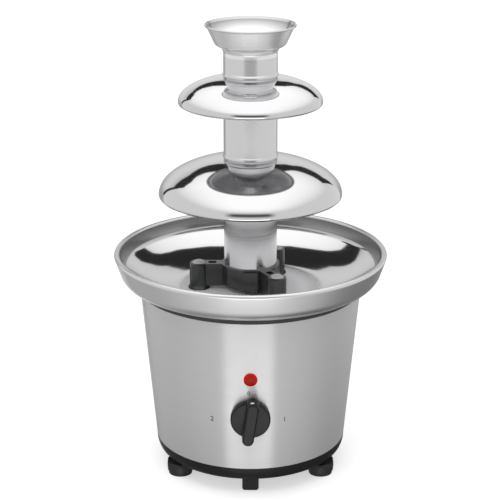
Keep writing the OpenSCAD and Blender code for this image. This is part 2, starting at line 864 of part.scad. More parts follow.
module gear_case() {
    color(black_plastic) difference() {
        union() {
            translate([0, 0, case_z]) case_outline(case_r, case_h);
            at_ears() translate([0, 0, case_z]) cylinder(r = ear_r, h = case_h);
        }
        translate([0, 0, case_z - 1]) case_outline(case_r - case_wall, case_h - case_wall + 1);
        translate([0, 0, case_z]) cylinder(d = shaft_d + 2 * running, h = case_h + 1);
        translate([centre_distance, 0, case_z]) cylinder(d = idler_pin_d, h = case_h + 1);
        at_ears() translate([0, 0, case_z - 1]) cylinder(d = screw_d + 2 * fixed_gap, h = case_h + 2);
    }
}

module gear_plate() {
    color(steel) difference() {
        union() {
            translate([0, 0, plate_z]) case_outline(case_r, plate_t);
            translate([0, 0, plate_z]) cylinder(r = motor_r, h = plate_t);
            at_ears() translate([0, 0, plate_z]) cylinder(r = ear_r, h = plate_t);
        }
        translate([0, 0, plate_z - 1]) cylinder(d = rotor_shaft_d + 2 * running, h = plate_t + 2);
        translate([centre_distance, 0, plate_z - 1]) cylinder(d = idler_pin_d, h = plate_t + 2);
        at_ears() translate([0, 0, plate_z - 1]) cylinder(d = screw_d, h = plate_t + 2);
    }
}

module idler_pin() {
    color(steel) translate([centre_distance, 0, plate_z])
        cylinder(d = idler_pin_d, h = plate_t + case_h);
}

module motor_screws() {
    color(steel) at_ears() {
        translate([0, 0, plate_z]) cylinder(d = screw_d, h = bracket_top - plate_z);
        translate([0, 0, bracket_top]) cylinder(d = screw_head_d, h = screw_head_h);
    }
}

module motor_case() {
    color(steel) difference() {
        translate([0, 0, motor_z]) cylinder(r = motor_r, h = motor_l);
        translate([0, 0, motor_z + motor_foot_t]) cylinder(r = motor_r - motor_wall, h = motor_l);
        translate([0, 0, motor_z - 1]) cylinder(d = rotor_shaft_d + 2 * running, h = motor_foot_t + 2);
    }
}

// Laminated ring with a copper-coloured winding form at each end
module stator() {
    outer = motor_r - motor_wall;
    bore = rotor_r + air_gap;
    color(copper) translate([0, 0, rotor_z]) {
        ring(outer, bore, rotor_l);
        for (z = [-winding_h, rotor_l])
            translate([0, 0, z]) ring(outer - winding_in, bore + winding_out, winding_h);
    }
}

module rotor_core() {
    color(aluminium) translate([0, 0, rotor_z]) ring(rotor_r, rotor_shaft_d / 2, rotor_l);
}

// Rotor shaft with its pinion cut on the end
module rotor_shaft() {
    color(steel) {
        translate([0, 0, motor_z + shaft_end])
            cylinder(d = rotor_shaft_d, h = low_pinion_top - motor_z - shaft_end);
        translate([0, 0, low_pinion_top - pinion_w])
            gear_body(pinion_teeth, pinion_addendum, 0, pinion_w);
    }
}

// Wheel driven by the rotor, with the pinion that drives the output wheel on its hub
module idler_gear() {
    half_pitch = 180 / wheel_teeth;
    color(nylon) translate([centre_distance, 0, 0]) difference() {
        union() {
            translate([0, 0, low_wheel_z])
                gear_body(wheel_teeth, wheel_addendum, 180 + half_pitch, wheel_w);
            translate([0, 0, high_pinion_z])
                gear_body(pinion_teeth, pinion_addendum, 180, high_pinion_top - high_pinion_z);
        }
        translate([0, 0, low_wheel_z - 1])
            cylinder(d = idler_pin_d + 2 * running, h = case_h);
    }
}

module output_gear() {
    half_pitch = 180 / wheel_teeth;
    color(nylon) difference() {
        union() {
            translate([0, 0, high_wheel_z]) gear_body(wheel_teeth, wheel_addendum, half_pitch, wheel_w);
            translate([0, 0, high_wheel_z]) cylinder(d = shaft_d + 2 * hub_t, h = wheel_w + hub_over);
        }
        translate([0, 0, high_wheel_z - 1]) cylinder(d = shaft_d, h = wheel_w + hub_over + 2);
    }
}

// Round shaft with a flat on its upper end for the auger
module drive_shaft() {
    color(steel) difference() {
        translate([0, 0, high_wheel_z]) cylinder(d = shaft_d, h = shaft_top - high_wheel_z);
        translate([shaft_d / 2 - flat_depth, -shaft_d, auger_z]) cube([shaft_d, 2 * shaft_d, shaft_top]);
    }
}

// Screw conveyor: a core with one blade, wound round the axis, and a socket for the shaft
module auger() {
    auger_l = auger_top - auger_z;
    turns = auger_l / auger_pitch;
    outline = concat(
        arc([0, 0], auger_d / 2, -blade_angle / 2, blade_angle / 2, blade_steps),
        arc([0, 0], auger_core_d / 2, blade_root_angle / 2, 360 - blade_root_angle / 2, core_steps)
    );
    slices = ceil(turns * auger_slices_per_turn);
    color(nylon) difference() {
        translate([0, 0, auger_z])
            linear_extrude(auger_l, twist = -360 * turns, slices = slices, $fn = len(outline))
                polygon(outline);
        intersection() {
            translate([0, 0, auger_z - 1]) cylinder(d = shaft_d + 2 * lift_fit, h = shaft_top - auger_z + 1);
            translate([-shaft_d, -shaft_d, auger_z - 2])
                cube([1.5 * shaft_d - flat_depth + lift_fit, 2 * shaft_d, shaft_top]);
        }
    }
}

// Tower

// Black tripod: ring for the lower tube, three arms and three bosses over the pins
module tower_base() {
    boss_h = ring_top - floor_z;
    arm_z = floor_z + arm_gap;
    pocket_from = pin_circle_r - boss_r - pocket_l;
    color(black_plastic) difference() {
        union() {
            translate([0, 0, ring_z]) cylinder(r = ring_r, h = ring_h);
            for (a = pin_angles) rotate([0, 0, a]) {
                translate([0, -arm_w / 2, arm_z]) cube([pin_circle_r, arm_w, ring_top - arm_z]);
                translate([pin_circle_r, 0, 0]) revolve([
                    [0, floor_z + boss_seat_gap], [boss_r + boss_flare, floor_z + boss_seat_gap],
                    [boss_r + boss_flare, floor_z + boss_foot_h], [boss_r, floor_z + boss_flare_h],
                    [boss_r - boss_draft, ring_top - boss_bevel],
                    [boss_r - boss_draft - boss_bevel, ring_top], [0, ring_top]
                ]);
            }
            rotate([0, 0, -90]) {
                translate([0, -rib_w / 2, ring_z]) cube([ring_r + rib_proud, rib_w, ring_h - rib_drop]);
                translate([0, -rib_foot_w / 2, floor_z + rib_foot_gap])
                    cube([ring_r + rib_proud - rib_foot_in, rib_foot_w, ring_gap]);
            }
        }
        translate([0, 0, ring_z + ledge_t]) cylinder(r = tube_r + tube_fit, h = ring_h);
        translate([0, 0, floor_z - 1]) cylinder(r = ledge_r, h = ring_h + ring_gap + 2);
        at_circle(pin_circle_r, pin_angles)
            translate([0, 0, floor_z - 1]) cylinder(d = pin_d + 2 * lift_fit, h = boss_h + 2);
        for (a = pin_angles) rotate([0, 0, a])
            translate([pocket_from, -arm_w / 2 + pocket_wall, ring_top - pocket_depth])
                cube([pocket_l, arm_w - 2 * pocket_wall, pocket_depth + 1]);
    }
}

module lower_tube() {
    tube_z = ring_z + ledge_t;
    color(polished) translate([0, 0, tube_z]) ring(tube_r, tube_in, large_top - tube_z);
}

module tier(z, r, h) {
    color(polished) difference() {
        revolve(sheet(tier_path(z, r, h), tower_t));
        translate([0, 0, z]) cylinder(r = tube_r, h = h);
    }
}

module large_tier() {
    tier(large_z, large_r, large_h);
}

module middle_tube() {
    color(polished) revolve(stack_section(large_top, small_top));
}

module small_tier() {
    tier(small_z, small_r, small_h);
}

module crown() {
    color(polished) revolve(crown_section());
}

// Controls

module rotary_switch() {
    color(black_plastic) on_housing(knob_z) difference() {
        union() {
            translate([-switch_w / 2, -switch_w / 2, -switch_back]) cube([switch_w, switch_w, switch_h]);
            translate([0, 0, -switch_back]) cylinder(d = switch_bush_d, h = switch_back + switch_bush_h);
        }
        translate([0, 0, -shaft_pit])
            cylinder(d = switch_shaft_d + 2 * running, h = shaft_pit + switch_bush_h + 1);
    }
}

module switch_nut() {
    color(steel) on_housing(knob_z) translate([0, 0, fixed_gap])
        hex_nut(switch_nut_d, switch_bush_d, switch_nut_h);
}

module switch_shaft() {
    top = knob_gap + shaft_in_knob;
    bottom = shaft_end - shaft_pit;
    color(steel) on_housing(knob_z) translate([0, 0, bottom]) cylinder(d = switch_shaft_d, h = top - bottom);
}

// Round disc with a tall grip bar across it, hollow behind for the switch's nut
module control_knob() {
    disc_top = knob_gap + knob_disc_h;
    grip_r = grip_w / 2;
    grip_half = grip_l / 2 - grip_r;
    grip_z = knob_gap + grip_foot;
    grip_top = disc_top + grip_h;
    side_r = grip_r - grip_draft;
    top_r = side_r - grip_bevel;
    color(black_plastic) on_housing(knob_z) rotate([0, 0, -knob_lean]) difference() {
        union() {
            revolve([
                [0, knob_gap], [knob_d / 2, knob_gap], [knob_d / 2, disc_top - knob_bevel],
                [knob_d / 2 - knob_bevel, disc_top], [0, disc_top]
            ]);
            for (y = [-grip_half, grip_half]) translate([0, y, 0]) revolve([
                [0, grip_z], [grip_r, grip_z], [side_r, grip_top - grip_bevel],
                [top_r, grip_top], [0, grip_top]
            ]);
            translate([0, grip_half, 0]) rotate([90, 0, 0]) linear_extrude(2 * grip_half) polygon([
                [-grip_r, grip_z], [grip_r, grip_z], [side_r, grip_top - grip_bevel],
                [top_r, grip_top], [-top_r, grip_top], [-side_r, grip_top - grip_bevel]
            ]);
        }
        cylinder(d = knob_recess_d, h = knob_gap + knob_recess_h);
        cylinder(d = switch_shaft_d, h = knob_gap + shaft_in_knob);
    }
}

module pilot_lamp_lens() {
    r = lamp_d / 2;
    rise = lamp_h - lens_edge_h;
    cap_round = (r * r + rise * rise) / (2 * rise);
    cap_half = asin(r / cap_round);
    color(lens_red) on_housing(lamp_z) {
        translate([0, 0, lens_seat]) revolve(concat(
            [[0, 0], [r, 0]],
            arc([0, lamp_h - cap_round], cap_round, 90 - cap_half, 90, 6)
        ));
        translate([0, 0, -lamp_stem_l]) cylinder(d = lamp_stem_d, h = lamp_stem_l + lens_edge_h);
    }
}

module pilot_lamp_body() {
    color(nylon) on_housing(lamp_z) {
        translate([0, 0, -lamp_stem_l - lamp_body_l]) {
            cylinder(d = lamp_stem_d, h = lamp_body_l);
            terminals(lamp_stem_d / 2);
        }
    }
}

housing_shell();
base_plate();
bowl();
bowl_gasket();
locating_pins();
pin_nuts();
heat_spreader();
heater_ring();
thermostat();
shaft_bush();
shaft_seal();
tie_rods();
rod_spacers();
rod_nuts();
motor_bracket();
gear_case();
gear_plate();
motor_case();
stator();
idler_pin();
motor_screws();
rotor_core();
rotor_shaft();
idler_gear();
output_gear();
drive_shaft();
auger();
tower_base();
lower_tube();
large_tier();
middle_tube();
small_tier();
crown();
rotary_switch();
switch_nut();
switch_shaft();
control_knob();
pilot_lamp_lens();
pilot_lamp_body();
cord_gland();
foot_inserts();
levelling_foot_left();
levelling_foot_right();
levelling_foot_rear();
foot_pad_left();
foot_pad_right();
foot_pad_rear();
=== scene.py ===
"""Table chocolate fountain: finishes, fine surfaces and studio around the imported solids.

Sizes are in millimetres in the classes below and turn to metres where a mesh is made. The axis of
the fountain is +Z, the table is at z = 0 and the front faces -Y.
"""

from __future__ import annotations

import json
import logging
import math
from dataclasses import dataclass, field
from enum import Enum, IntEnum, auto

import bmesh
import bpy
import numpy as np
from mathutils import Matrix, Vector

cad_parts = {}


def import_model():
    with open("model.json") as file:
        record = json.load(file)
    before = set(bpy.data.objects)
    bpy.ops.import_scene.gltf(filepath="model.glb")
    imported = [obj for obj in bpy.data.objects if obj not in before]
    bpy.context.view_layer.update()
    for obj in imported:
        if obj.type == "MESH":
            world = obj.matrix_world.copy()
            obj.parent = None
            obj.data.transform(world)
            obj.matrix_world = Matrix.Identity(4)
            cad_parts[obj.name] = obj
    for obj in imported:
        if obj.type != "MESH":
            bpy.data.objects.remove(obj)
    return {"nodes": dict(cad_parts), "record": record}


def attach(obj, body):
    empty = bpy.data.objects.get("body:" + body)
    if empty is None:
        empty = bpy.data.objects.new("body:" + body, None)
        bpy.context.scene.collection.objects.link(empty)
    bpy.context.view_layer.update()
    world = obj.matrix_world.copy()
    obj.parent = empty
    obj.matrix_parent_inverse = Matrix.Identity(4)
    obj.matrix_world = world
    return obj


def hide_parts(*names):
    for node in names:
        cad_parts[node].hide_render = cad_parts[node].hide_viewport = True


# Short names of types
Tree = bpy.types.NodeTree
Node = bpy.types.Node
Socket = bpy.types.NodeSocket
Corners = tuple[tuple[float, float, float], ...]

LOG = logging.getLogger("fountain")
MM = 0.001
# Points closer than this are one point, in millimetres
MERGE_GAP = 0.001
# Steps round the axis of a spun piece, and of a small one
RING_STEPS = 192
SMALL_STEPS = 96
# Angle from which an edge stays sharp or gets rounded, and the steps across a rounded edge
SHARP_ANGLE = math.radians(24)
EDGE_STEPS = 2
# Share of a side that the rounding of a corner may take up
CORNER_SHARE = 0.45
# Most of a noise lies between these two values, and a soft or a fine one has so many octaves
NOISE_LOW, NOISE_HIGH = 0.3, 0.7
SOFT, FINE = 2.0, 3.0
# A wave texture has so many radians of phase to a unit of scale
WAVE_PHASE = 20.0


# Node and colour helpers


def linear(code: str) -> tuple[float, float, float, float]:
    """Turn an sRGB hex colour into linear RGBA.

    Args:
        code: Six hex digits after a #.

    Returns:
        Linear red, green and blue, and an alpha of 1.
    """
    srgb = np.array([int(code[i : i + 2], 16) for i in (1, 3, 5)]) / 255
    rgb = np.where(srgb <= 0.04045, srgb / 12.92, ((srgb + 0.055) / 1.055) ** 2.4)
    return (*rgb.tolist(), 1.0)


def fresh_tree(owner: bpy.types.Material | bpy.types.World) -> Tree:
    """Give a material or a world an empty node tree.

    Args:
        owner: The material or world.

    Returns:
        Its node tree.
    """
    owner.use_nodes = True
    owner.node_tree.nodes.clear()
    return owner.node_tree


def add_node(
    tree: Tree,
    kind: str,
    settings: dict[str | int, object] | None = None,
    links: dict[str | int, Socket] | None = None,
) -> Node:
    """Add one node, set its properties and sockets, and link its inputs.

    Args:
        tree: Node tree that gets the node.
        kind: Blender's name of the node type.
        settings: Values by property name, or by input name or number.
        links: Output sockets by the input name or number that they feed.

    Returns:
        The new node.
    """
    node = tree.nodes.new(kind)
    for name, value in (settings or {}).items():
        if isinstance(name, int) or name in node.inputs:
            node.inputs[name].default_value = value
        else:
            setattr(node, name, value)
    for name, socket in (links or {}).items():
        tree.links.new(socket, node.inputs[name])
    return node


def smooth_mask(tree: Tree, edges: list[tuple[Socket, float, float]]) -> Socket:
    """Mask a place: the product of a smooth step at each of its edges.

    Args:
        tree: Node tree that gets the mask.
        edges: For each edge, the measure that it lies on, and where the step is 0 and where it is 1.

    Returns:
        Socket of the mask.
    """
    mask = None
    for measure, off, on in edges:
        ends = {"interpolation_type": "SMOOTHSTEP", "From Min": off, "From Max": on}
        step = add_node(tree, "ShaderNodeMapRange", ends, {"Value": measure}).outputs["Result"]
        if mask is not None:
            step = add_node(tree, "ShaderNodeMath", {"operation": "MULTIPLY"}, {0: mask, 1: step}).outputs[0]
        mask = step
    return mask


# Outlines in the plane of radius and height, in millimetres


class Stretch(IntEnum):
    """Stretches of the bowl's and the crown's section."""

    FLOOR = auto()
    DISH = auto()
    CREASE = auto()
    BAND = auto()
    LIP = auto()
    SKIRT = auto()
    FOOT = auto()
    WALL = auto()
    INSIDE = auto()
    BORE = auto()
    TUBE = auto()


def labelled(stretches: dict[Stretch, np.ndarray]) -> tuple[np.ndarray, np.ndarray]:
    """Join stretches end to end, and note where each point lies.

    Args:
        stretches: Points of each stretch, in order.

    Returns:
        All points, and the stretch of each.
    """
    counts = [len(points) for points in stretches.values()]
    return np.concatenate(list(stretches.values())), np.repeat(list(stretches), counts)


def arc(centre: tuple[float, float], radius: float, start: float, end: float, steps: int) -> np.ndarray:
    """Give points on a circle: the centre plus the radius times cosine and sine of an even run of angles.

    Args:
        centre: Radius and height of the circle's centre.
        radius: Radius of the circle.
        start: First angle in degrees.
        end: Last angle in degrees.
        steps: Number of steps between them.

    Returns:
        Array of shape (steps + 1, 2).
    """
    angle = np.radians(np.linspace(start, end, steps + 1))
    return np.asarray(centre) + radius * np.stack([np.cos(angle), np.sin(angle)], axis=1)


def rounded(points: list[tuple[float, float]], radius: float, steps: int = 6) -> np.ndarray:
    """Round the inner corners of an open path.

    Each corner becomes a quadratic curve. It leaves the path at the tangent length of a circle of the
    given radius, or at a set share of the shorter side, and the corner itself is its control point.

    Args:
        points: Corners of the path.
        radius: Radius of the rounding.
        steps: Number of steps in each rounding.

    Returns:
        Array of the path's points.
    """
    path = np.asarray(points, dtype=float)
    corner = path[1:-1]
    back, ahead = path[:-2] - corner, path[2:] - corner
    back_len, ahead_len = np.linalg.norm(back, axis=1), np.linalg.norm(ahead, axis=1)
    back, ahead = back / back_len[:, None], ahead / ahead_len[:, None]
    half = np.arccos(np.clip((back * ahead).sum(axis=1), -1, 1)) / 2
    reach = np.minimum(radius / np.tan(half), CORNER_SHARE * np.minimum(back_len, ahead_len))[:, None]
    start, end = corner + reach * back, corner + reach * ahead
    u = np.linspace(0, 1, steps + 1)[None, :, None]
    curve = (1 - u) ** 2 * start[:, None] + 2 * u * (1 - u) * corner[:, None] + u**2 * end[:, None]
    return np.concatenate([path[:1], curve.reshape(-1, 2), path[-1:]])


def set_back(path: np.ndarray, distance: float) -> np.ndarray:
    """Move a path to its right by a distance, along the mitred mean of the normals of its two sides.

    Args:
        path: Points of an open path.
        distance: How far it moves.

    Returns:
        Points of the moved path.
    """
    step = np.diff(path, axis=0)
    step /= np.linalg.norm(step, axis=1)[:, None]
    normal = np.stack([step[:, 1], -step[:, 0]], axis=1)
    before, after = np.concatenate([normal[:1], normal]), np.concatenate([normal, normal[-1:]])
    mitre = before + after
    return path + distance * mitre / (mitre * before).sum(axis=1)[:, None]


def sheet(path: np.ndarray, thickness: float) -> np.ndarray:
    """Close a path into the section of a sheet: the path, then its set-back copy in reverse."""
    return np.concatenate([path, set_back(path, thickness)[::-1]])


# Surfaces and meshes


class Zone(Enum):
    """Zones of a finish, each with the attribute that gives a face's share of it."""

    SATIN = "satin"
    # Painted light and shade: a darker colour stands in for shade and dark reflections, and a share below
    # zero paints light
    DULL = "painted_light_and_shade"


@dataclass
class Surface:
    """Points in millimetres, the faces between them, and each face's share of a finish's zones."""

    points: np.ndarray
    faces: np.ndarray
    zones: dict[Zone, np.ndarray] = field(default_factory=dict)

    def joined(self, other: Surface) -> Surface:
        """Put another surface beside this one in one mesh."""
        faces = np.concatenate([self.faces, other.faces + len(self.points)])
        return Surface(np.concatenate([self.points, other.points]), faces)


def spin(
    outline: np.ndarray,
    steps: int = RING_STEPS,
    stretch: float = 0.0,
    zones: dict[Zone, np.ndarray] | None = None,
) -> Surface:
    """Carry a closed outline round the Z axis.

    A point at radius r and angle a lands at (r cos a, r sin a). The half with positive Y moves out by
    the stretch and the other half by its opposite, so a stretch turns each circle into a stadium.

    Args:
        outline: Closed outline of radius and height.
        steps: Number of steps round the axis.
        stretch: Half the straight run of the stadium.
        zones: Share of each zone on each edge of the outline.

    Returns:
        The surface of revolution.
    """
    half = np.linspace(0, math.pi, steps // 2 + 1)
    angle = np.concatenate([half, half + math.pi])[:, None]
    shift = np.repeat([stretch, -stretch], len(half))[:, None]
    radius, height = outline[None, :, 0], outline[None, :, 1]
    x, y = radius * np.cos(angle), radius * np.sin(angle) + shift
    points = np.stack([x, y, np.broadcast_to(height, x.shape)], axis=2).reshape(-1, 3)
    rows, columns = len(angle), len(outline)
    grid = np.arange(rows * columns).reshape(rows, columns)
    right, up = np.roll(grid, -1, axis=1), np.roll(grid, -1, axis=0)
    faces = np.stack([grid, right, np.roll(right, -1, axis=0), up], axis=2).reshape(-1, 4)
    return Surface(points, faces, {zone: np.tile(share, rows) for zone, share in (zones or {}).items()})


def mesh_surface(mesh: bpy.types.Mesh, unit: float) -> Surface:
    """Read a mesh of triangles as a surface.

    Args:
        mesh: The mesh.
        unit: Size of a millimetre in the mesh.

    Returns:
        The surface in millimetres.
    """
    points = np.empty(3 * len(mesh.vertices))
    corners = np.empty(len(mesh.loops), dtype=int)
    mesh.vertices.foreach_get("co", points)
    mesh.loops.foreach_get("vertex_index", corners)
    return Surface(points.reshape(-1, 3) / unit, corners.reshape(-1, 3))


# Finishes


@dataclass(frozen=True)
class Finish:
    """A surface finish: what the material is and how its surface was made."""

    title: str
    colour: str
    roughness: float
    metallic: float = 0.0

    def material(self) -> bpy.types.Material:
        """Make the material on its first use, and hand out the same one after that.

        Returns:
            The finish as a Blender material.
        """
        known = bpy.data.materials.get(self.title)
        if known:
            return known
        made = bpy.data.materials.new(self.title)
        tree = fresh_tree(made)
        shader = add_node(
            tree,
            "ShaderNodeBsdfPrincipled",
            {"Base Color": linear(self.colour), "Roughness": self.roughness, "Metallic": self.metallic},
        )
        add_node(tree, "ShaderNodeOutputMaterial", links={"Surface": shader.outputs["BSDF"]})
        self.pattern(tree, shader)
        return made

    def pattern(self, tree: Tree, shader: Node) -> None:
        """Add the pattern that this kind of surface shows."""

    @staticmethod
    def noise(
        tree: Tree, grain: tuple[float, float, float], octaves: float = SOFT, place: Socket | None = None
    ) -> Socket:
        """Draw noise on Object coordinates, or on a place that is worked out from them.

        Args:
            tree: Node tree of the material.
            grain: Size of a grain along X, Y and Z in millimetres.
            octaves: Octaves of the noise.
            place: The place, where it isn't the Object coordinates.

        Returns:
            Socket of the noise.
        """
        if place is None:
            place = add_node(tree, "ShaderNodeTexCoord").outputs["Object"]
        scale = tuple(1 / (size * MM) for size in grain)
        mapped = add_node(tree, "ShaderNodeMapping", {"Scale": scale}, {"Vector": place}).outputs["Vector"]
        drawn = add_node(tree, "ShaderNodeTexNoise", {"Scale": 1.0, "Detail": octaves}, {"Vector": mapped})
        return drawn.outputs[0]

    def uneven(self, tree: Tree, source: Socket, change: tuple[float, float]) -> Socket:
        """Let the roughness follow a pattern.

        Args:
            tree: Node tree of the material.
            source: Output of the pattern.
            change: What the roughness gains where the pattern is low and where it is high.

        Returns:
            Socket of the roughness.
        """
        low, high = (self.roughness + step for step in change)
        ends = {"From Min": NOISE_LOW, "From Max": NOISE_HIGH, "To Min": low, "To Max": high}
        return add_node(tree, "ShaderNodeMapRange", ends, {"Value": source}).outputs["Result"]

    @staticmethod
    def emboss(tree: Tree, shader: Node, source: Socket, depth: float, share: float) -> None:
        """Raise a pattern from the surface.

        Args:
            tree: Node tree of the material.
            shader: Its surface shader.
            source: Output of the pattern.
            depth: Height of the pattern in millimetres.
            share: Share of it that shows.
        """
        height = {"Strength": share, "Distance": depth * MM}
        bump = add_node(tree, "ShaderNodeBump", height, {"Height": source})
        tree.links.new(bump.outputs["Normal"], shader.inputs["Normal"])

    def shade(self, tree: Tree, shader: Node, dull_colour: str) -> None:
        """Blend the colour towards a painted shade by the piece's zone of painted light and shade; below zero
        it turns paler instead, a painted light.

        Args:
            tree: Node tree of the material.
            shader: Its surface shader.
            dull_colour: Colour of the painted shade where the zone is full.
        """
        painted_light_and_shade = add_node(tree, "ShaderNodeAttribute", {"attribute_name": Zone.DULL.value}).outputs["Fac"]
        # The mix node's colours are its inputs 6 and 7, and its output 2
        ends = {"data_type": "RGBA", "clamp_factor": False, 6: linear(self.colour), 7: linear(dull_colour)}
        tone = add_node(tree, "ShaderNodeMix", ends, {0: painted_light_and_shade})
        tree.links.new(tone.outputs[2], shader.inputs["Base Color"])


@dataclass(frozen=True)
class PolishedSteel(Finish):
    """Stainless steel, spun and mirror-buffed: sharp reflections with faint rings of haze from the wheel.

    Where the wheel doesn't reach, the sheet stays satin and shows only soft tones.
    """

    metallic: float = 1.0
    # The buffing lines are about 0.05 mm apart; they are drawn coarser so that they show
    buff_line: float = 0.9
    haze: float = 0.03
    satin: float = 0.5
    # Colour of the painted shade and painted dark reflection
    dull_colour: str = "#7c7c7d"

    def pattern(self, tree: Tree, shader: Node) -> None:
        """Vary the roughness in fine rings by noise on radius and height, and blend in the satin zone and the
        zone of painted light and shade.

        Args:
            tree: Node tree of the material.
            shader: Its surface shader.
        """
        place = add_node(tree, "ShaderNodeTexCoord")
        x, y, z = add_node(tree, "ShaderNodeSeparateXYZ", links={0: place.outputs["Object"]}).outputs
        flat = add_node(tree, "ShaderNodeCombineXYZ", links={0: x, 1: y})
        radius = add_node(tree, "ShaderNodeVectorMath", {"operation": "LENGTH"}, {0: flat.outputs[0]})
        rings = add_node(tree, "ShaderNodeCombineXYZ", links={0: radius.outputs["Value"], 1: z})
        lines = self.noise(tree, (self.buff_line,) * 3, FINE, rings.outputs[0])
        buffed = self.uneven(tree, lines, (0.0, self.haze))
        satin = add_node(tree, "ShaderNodeAttribute", {"attribute_name": Zone.SATIN.value}).outputs["Fac"]
        rough = add_node(tree, "ShaderNodeMix", {"B": self.satin}, {"Factor": satin, "A": buffed})
        tree.links.new(rough.outputs[0], shader.inputs["Roughness"])
        self.shade(tree, shader, self.dull_colour)


@dataclass(frozen=True)
class BrushedSteel(Finish):
    """Stainless steel, belt-brushed round the axis: highlights smear up and down, fine lines run level."""

    metallic: float = 1.0
    line_length: float = 45.0
    # The brush lines are about 0.1 mm apart; they are drawn coarser so that they show
    line_height: float = 0.35
    line_depth: float = 0.0015
    line_share: float = 0.5
    # What the roughness loses and gains along the lines
    clouds: tuple[float, float] = (-0.04, 0.05)
    anisotropy: float = 0.6
    # Quarter turn of the highlight, from along the lines to across them
    highlight_turn: float = 0.25
    # Colour of the painted shade
    dull_colour: str = "#8a8a8b"

    def pattern(self, tree: Tree, shader: Node) -> None:
        """Stretch noise along the brush lines, and turn the highlight across them.

        Args:
            tree: Node tree of the material.
            shader: Its surface shader.
        """
        lines = self.noise(tree, (self.line_length, self.line_length, self.line_height), FINE)
        tree.links.new(self.uneven(tree, lines, self.clouds), shader.inputs["Roughness"])
        self.emboss(tree, shader, lines, self.line_depth, self.line_share)
        self.shade(tree, shader, self.dull_colour)
        shader.inputs["Anisotropic"].default_value = self.anisotropy
        shader.inputs["Anisotropic Rotation"].default_value = self.highlight_turn
        around = add_node(tree, "ShaderNodeTangent", {"direction_type": "RADIAL", "axis": "Z"})
        tree.links.new(around.outputs[0], shader.inputs["Tangent"])


@dataclass(frozen=True)
class Moulded(Finish):
    """Moulded plastic or rubber: a fine eroded grain breaks up its soft highlights."""

    # The grain is about 0.1 mm across; it is drawn coarser so that it shows
    grain: float = 0.5
    depth: float = 0.01
    grain_share: float = 0.4
    gloss: float = 0.5
    # Size of the soft patches, and what the roughness loses and gains in them
    patch: float = 14.0
    clouds: tuple[float, float] = (-0.05, 0.06)

    def pattern(self, tree: Tree, shader: Node) -> None:
        """Vary the roughness in broad soft patches and raise a fine grain.

        Args:
            tree: Node tree of the material.
            shader: Its surface shader.
        """
        shader.inputs["Specular IOR Level"].default_value = self.gloss
        patches = self.noise(tree, (self.patch,) * 3)
        tree.links.new(self.uneven(tree, patches, self.clouds), shader.inputs["Roughness"])
        self.emboss(tree, shader, self.noise(tree, (self.grain,) * 3, FINE), self.depth, self.grain_share)


@dataclass(frozen=True)
class Worked(Finish):
    """Turned, drawn or plated metal: level tool lines and a slightly clouded gloss."""

    metallic: float = 1.0
    # The tool lines are about 0.1 mm apart; they are drawn coarser so that they show
    line: float = 0.3
    line_length: float = 20.0
    line_depth: float = 0.006
    line_share: float = 0.4
    # Size of the soft patches, and what the roughness loses and gains in them
    patch: float = 9.0
    clouds: tuple[float, float] = (-0.06, 0.08)

    def pattern(self, tree: Tree, shader: Node) -> None:
        """Vary the roughness in soft patches and raise level tool lines.

        Args:
            tree: Node tree of the material.
            shader: Its surface shader.
        """
        patches = self.noise(tree, (self.patch,) * 3)
        tree.links.new(self.uneven(tree, patches, self.clouds), shader.inputs["Roughness"])
        lines = self.noise(tree, (self.line_length, self.line_length, self.line))
        self.emboss(tree, shader, lines, self.line_depth, self.line_share)


@dataclass(frozen=True)
class Wound(Finish):
    """Enamelled copper wire, wound: a row of round glossy strands."""

    # Thickness of the wire, how far a strand wavers, and what the roughness gains between strands
    wire: float = 0.6
    waver: float = 0.6
    depth: float = 0.2
    strand_share: float = 0.8
    clouds: tuple[float, float] = (0.1, 0.0)

    def pattern(self, tree: Tree, shader: Node) -> None:
        """Raise strands by a sine wave along the height, one wave to a wire.

        Args:
            tree: Node tree of the material.
            shader: Its surface shader.
        """
        place = add_node(tree, "ShaderNodeTexCoord")
        scale = 2 * math.pi / (WAVE_PHASE * self.wire * MM)
        strands = add_node(
            tree,
            "ShaderNodeTexWave",
            {"bands_direction": "Z", "Scale": scale, "Distortion": self.waver},
            {"Vector": place.outputs["Object"]},
        ).outputs[1]
        self.emboss(tree, shader, strands, self.depth, self.strand_share)
        tree.links.new(self.uneven(tree, strands, self.clouds), shader.inputs["Roughness"])


@dataclass(frozen=True)
class Lens(Finish):
    """Red acrylic lens, moulded and unlit: deep red, with painted light that brightens it at its edge."""

    # Size and depth of the ripple that moulding leaves on the lens
    grain: float = 1.1
    depth: float = 0.03
    grain_share: float = 0.3
    deep: str = "#b01c0c"
    gloss: float = 0.12
    # Middle of the lens, and the distances from it between which painted light brightens the red
    middle: tuple[float, float, float] = (0.0, -91.0, 110.0)
    edge: tuple[float, float] = (2.5, 5.7)

    def pattern(self, tree: Tree, shader: Node) -> None:
        """Paint light on the red, brighter with the distance from the lens's middle, and raise a soft grain.

        Args:
            tree: Node tree of the material.
            shader: Its surface shader.
        """
        shader.inputs["Specular IOR Level"].default_value = self.gloss
        place = add_node(tree, "ShaderNodeTexCoord").outputs["Object"]
        middle = [value * MM for value in self.middle]
        away = add_node(tree, "ShaderNodeVectorMath", {"operation": "DISTANCE", 1: middle}, {0: place})
        near, far = (value * MM for value in self.edge)
        # Painted light: the red brightens towards the lens's edge
        painted_edge_light = smooth_mask(tree, [(away.outputs["Value"], near, far)])
        tone = add_node(tree, "ShaderNodeMixRGB", {1: linear(self.deep), 2: linear(self.colour)}, {0: painted_edge_light})
        tree.links.new(tone.outputs[0], shader.inputs["Base Color"])
        self.emboss(tree, shader, self.noise(tree, (self.grain,) * 3), self.depth, self.grain_share)


